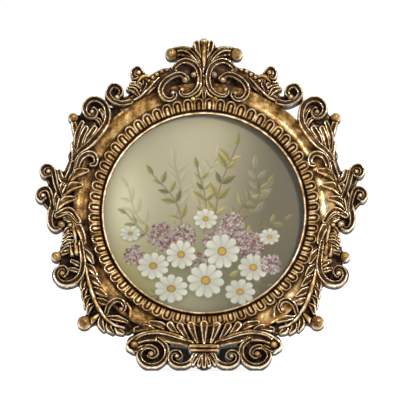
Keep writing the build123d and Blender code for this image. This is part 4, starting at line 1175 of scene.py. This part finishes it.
def giltFinish():
    finish = Finish("antiqueGilt", **{"IOR": 1.5, "Specular IOR Level": 0.15})
    bare = finish.node("ShaderNodeAttribute", {"attribute_name": "bare"}, output="Fac")
    mottle = finish.noise(gilt["mottleScale"], detail=4) - 0.5
    grain = finish.noise(gilt["grainScale"], detail=3) - 0.5
    rubbed = finish.within(bare + mottle * gilt["mottle"] + grain * gilt["grain"])
    shares = gilt["metallic"], gilt["roughness"]
    metallic, roughness = (umber + rubbed * change for umber, change in shares)
    return finish.dress(**{
        "Base Color": finish.node("ShaderNodeValToRGB", {"stops": gilt["stops"]}, {"Fac": rubbed}),
        "Metallic": metallic, "Roughness": roughness,
        "Normal": finish.bump(grain + mottle * gilt["mottleBump"], *gilt["bump"]),
    })


# Satin print: the painted colours on a sheet with a little paper grain
paper = {"scale": 700, "grain": 0.12, "tint": (0.72, 0.68, 0.52), "roughness": 0.5, "bump": (0.08, 0.0001)}


def printFinish():
    finish = Finish("satinPrint", Roughness=paper["roughness"], IOR=1.45)
    paint = finish.node("ShaderNodeAttribute", {"attribute_name": "paint"}, output="Color")
    grain = finish.noise(paper["scale"], detail=4)
    colour = finish.mix(grain * paper["grain"], paint, paper["tint"], "MULTIPLY")
    return finish.dress(**{"Base Color": colour, "Normal": finish.bump(grain, *paper["bump"])})


# Glass: clear, with a thin gloss that grows at a slant
pane = {"ior": 1.45, "tint": (0.985, 0.992, 0.985, 1), "gloss": (1, 1, 1, 1), "roughness": 0.03}


def glassFinish():
    finish = Finish("clearGlass")
    fresnel = finish.node("ShaderNodeFresnel", None, {"IOR": pane["ior"]})
    clear = finish.node("ShaderNodeBsdfTransparent", None, {"Color": pane["tint"]})
    values = {"Color": pane["gloss"], "Roughness": pane["roughness"]}
    gloss = finish.node("ShaderNodeBsdfGlossy", None, values)
    mixed = finish.node("ShaderNodeMixShader", None, {0: fresnel, 1: clear, 2: gloss})
    finish.feed(finish.tree.nodes["Material Output"].inputs["Surface"], mixed)
    finish.tree.nodes.remove(finish.shader)
    return finish.material


# Card and board: pressed fibre, light and dark, with a finer fleck
boards = {
    "greyCard": {"light": (0.36, 0.31, 0.23), "dark": (0.2, 0.17, 0.12), "scale": 420},
    "fibreBoard": {"light": (0.25, 0.155, 0.075), "dark": (0.1, 0.058, 0.028), "scale": 600},
    "roughness": 0.82, "contrast": 1.4, "offset": 0.2, "fleckScale": 4, "fleck": 0.6, "bump": (0.3, 0.0002),
}


def boardFinish(name):
    finish = Finish(name, Roughness=boards["roughness"])
    board = boards[name]
    fibre = finish.noise(board["scale"], detail=5, rough=0.7)
    fleck = finish.noise(board["scale"] * boards["fleckScale"], detail=2)
    share = finish.within(fibre * boards["contrast"] - boards["offset"])
    return finish.dress(**{
        "Base Color": finish.mix(share, board["dark"], board["light"]),
        "Normal": finish.bump(fibre + fleck * boards["fleck"], *boards["bump"]),
    })


# Velvet: a short black pile that lies in soft patches, greyer where it was brushed
velvet = {
    "dark": (0.005, 0.005, 0.006), "brushed": (0.045, 0.044, 0.048), "sheen": (0.6, 0.6, 0.66, 1),
    "patchScale": 55, "patch": 2.6, "pileScale": 4200, "pile": 0.5, "offset": 1.1,
    "roughness": (0.78, 0.2), "bump": (0.5, 0.0002),
}


def velvetFinish():
    sheen = {"Sheen Weight": 0.5, "Sheen Roughness": 0.35, "Sheen Tint": velvet["sheen"]}
    finish = Finish("blackVelvet", **sheen)
    brushed = finish.noise(velvet["patchScale"], detail=3)
    pile = finish.noise(velvet["pileScale"], detail=2)
    share = finish.within(brushed * velvet["patch"] + pile * velvet["pile"] - velvet["offset"])
    smooth, change = velvet["roughness"]
    return finish.dress(**{
        "Base Color": finish.mix(share, velvet["dark"], velvet["brushed"]),
        "Roughness": smooth + brushed * change, "Normal": finish.bump(pile + brushed, *velvet["bump"]),
    })


# Satin ribbon: fine ribs across, a corded edge and a little sheen
satin = {
    "dark": (0.008, 0.008, 0.009), "light": (0.05, 0.05, 0.055), "sheen": 0.3,
    "ribScale": 0.75, "rib": 0.7, "ribSway": 0.3, "threadScale": 1.1, "thread": 0.2, "threadSway": 0.2,
    "roughness": (0.5, 0.2), "threadBump": 0.4, "bump": (0.6, 0.0001),
}


def ribbonFinish():
    finish = Finish("blackRibbon", **{"Sheen Weight": satin["sheen"]})
    weave = finish.node("ShaderNodeUVMap", {"uv_map": "weave"})

    def bands(direction, scale, sway):
        settings = {"wave_type": "BANDS", "bands_direction": direction}
        values = {"Vector": weave, "Scale": scale, "Distortion": sway}
        return finish.node("ShaderNodeTexWave", settings, values)

    ribs = bands("Y", satin["ribScale"], satin["ribSway"])
    threads = bands("X", satin["threadScale"], satin["threadSway"])
    share = ribs * satin["rib"] + threads * satin["thread"]
    smooth, change = satin["roughness"]
    return finish.dress(**{
        "Base Color": finish.mix(share, satin["dark"], satin["light"]),
        "Roughness": smooth + threads * change,
        "Normal": finish.bump(ribs + threads * satin["threadBump"], *satin["bump"]),
    })


# Plated sheet metal: brushed one way, with a few darker handling marks
plating = {
    "nickelPlate": {
        "light": (0.62, 0.6, 0.56), "dark": (0.3, 0.28, 0.25), "roughness": 0.26, "stretch": (1, 8, 8),
    },
    "brassPlate": {
        "light": (0.72, 0.52, 0.22), "dark": (0.34, 0.22, 0.08), "roughness": 0.28, "stretch": (8, 1, 1),
    },
    "brushScale": 120, "markScale": 160, "markContrast": 2.4, "markOffset": 1.1,
    "brushRough": 0.15, "markRough": 0.18, "bump": (0.12, 0.0001),
}


def platedFinish(name):
    finish = Finish(name, Metallic=1.0)
    metal = plating[name]
    brushed = finish.noise(plating["brushScale"], detail=4, vector=finish.stretched(metal["stretch"]))
    marks = finish.noise(plating["markScale"], detail=4)
    stain = finish.within(marks * plating["markContrast"] - plating["markOffset"])
    return finish.dress(**{
        "Base Color": finish.mix(stain, metal["light"], metal["dark"]),
        "Roughness": metal["roughness"] + brushed * plating["brushRough"] + stain * plating["markRough"],
        "Normal": finish.bump(brushed, *plating["bump"]),
    })


slotFinishes = {
    "gilt_resin": giltFinish(), "glass": glassFinish(), "print": printFinish(), "velvet": velvetFinish(),
    "card": boardFinish("greyCard"), "board": boardFinish("fibreBoard"), "ribbon": ribbonFinish(),
    "steel": platedFinish("nickelPlate"), "brass": platedFinish("brassPlate"),
}
for piece in gilded:
    piece.data.materials.append(slotFinishes["gilt_resin"])
photoPrint.data.materials.append(slotFinishes["print"])
stayRibbon.data.materials.append(slotFinishes["ribbon"])
slotOf = {part["node"]: part["material_slot"] for part in frame["record"]["subparts"]}
for name, node in frame["nodes"].items():
    finish = slotFinishes[slotOf[name]]
    if node.data.materials:
        for slot in node.material_slots:
            slot.material = finish
    else:
        node.data.materials.append(finish)
print("materials made")


# Studio: a pale floor, a grey surround, one soft key from the right and a weaker fill from the left
studio = {
    "floorSize": 14.0, "floorTone": 0.5, "floorRoughness": 0.9, "backdropGlow": 0.85, "surround": 0.45,
    "lamps": [  # name, power, size, way from the face (right, up, out), distance
        ("keyLamp", 19.0, 0.3, (0.72, 0.42, 0.9), 1.1), ("fillLamp", 6.0, 0.5, (-0.9, 0.5, 0.6), 1.2),
    ],
    "cameraDistance": 4.5, "cameraDrop": 9, "sensor": 36, "pixel": 0.61, "picturePixels": 400,
    "aimRight": -4, "aimUp": 13, "aimOut": 10,
}


# 1 for rays that see the floor straight, mirrored or through glass: its glow lights nothing else
def backdropRays(finish):
    kinds = ("Is Camera Ray", "Is Glossy Ray", "Is Transmission Ray")
    seen, *others = (finish.node("ShaderNodeLightPath", output=kind) for kind in kinds)
    for ray in others:
        seen = seen.math("MAXIMUM", seen, ray)
    return seen


def makeFloor():
    bpy.ops.object.select_all(action="DESELECT")
    bpy.ops.mesh.primitive_plane_add(size=studio["floorSize"], location=(0, 0, 0))
    floor = bpy.context.object
    floor.name = "studioFloor"
    finish = Finish("paleFloor", **{
        "Roughness": studio["floorRoughness"], "Base Color": (studio["floorTone"],) * 3 + (1,),
        "Specular IOR Level": 0, "Emission Color": (1, 1, 1, 1),
    })
    finish.dress(**{"Emission Strength": backdropRays(finish) * studio["backdropGlow"]})
    floor.data.materials.append(finish.material)


def makeLamp(name, power, size, way, distance):
    data = bpy.data.lights.new(name, "AREA")
    data.energy, data.size = power, size
    lamp = linkObject(name, data)
    way = across * way[0] + upFace * way[1] + toViewer * way[2]
    lamp.location = faceOrigin + way.normalized() * distance
    lamp.rotation_euler = (-way).to_track_quat("-Z", "Y").to_euler()


def makeCamera():
    data = bpy.data.cameras.new("camera")
    camera = linkObject("camera", data)
    aim = faceOrigin + toViewer * studio["aimOut"] * mm
    aim += (across * studio["aimRight"] + upFace * studio["aimUp"]) * studio["pixel"] * mm
    drop = math.radians(studio["cameraDrop"])  # below square, to show the leg in the lower piercings
    way = toViewer * math.cos(drop) - upFace * math.sin(drop)
    camera.location = aim + way * studio["cameraDistance"]
    camera.rotation_euler = (-way).to_track_quat("-Z", "Y").to_euler()
    data.sensor_width = studio["sensor"]
    width = studio["pixel"] * studio["picturePixels"] * mm
    data.lens = studio["sensor"] * studio["cameraDistance"] / width
    bpy.context.scene.camera = camera


def makeSurround():
    world = bpy.data.worlds.new("surround")
    bpy.context.scene.world = world
    world.use_nodes = True
    tree = world.node_tree
    background = tree.nodes["Background"]
    background.inputs["Color"].default_value = (1, 1, 1, 1)
    path = tree.nodes.new("ShaderNodeLightPath")
    lit = tree.nodes.new("ShaderNodeMath")
    lit.operation = "MULTIPLY_ADD"
    lit.inputs[1].default_value = 1 - studio["surround"]
    lit.inputs[2].default_value = studio["surround"]
    tree.links.new(path.outputs["Is Camera Ray"], lit.inputs[0])
    tree.links.new(lit.outputs[0], background.inputs["Strength"])


makeFloor()
makeSurround()
for values in studio["lamps"]:
    makeLamp(*values)
makeCamera()
bpy.context.scene.view_settings.view_transform = "Standard"
print("studio made")
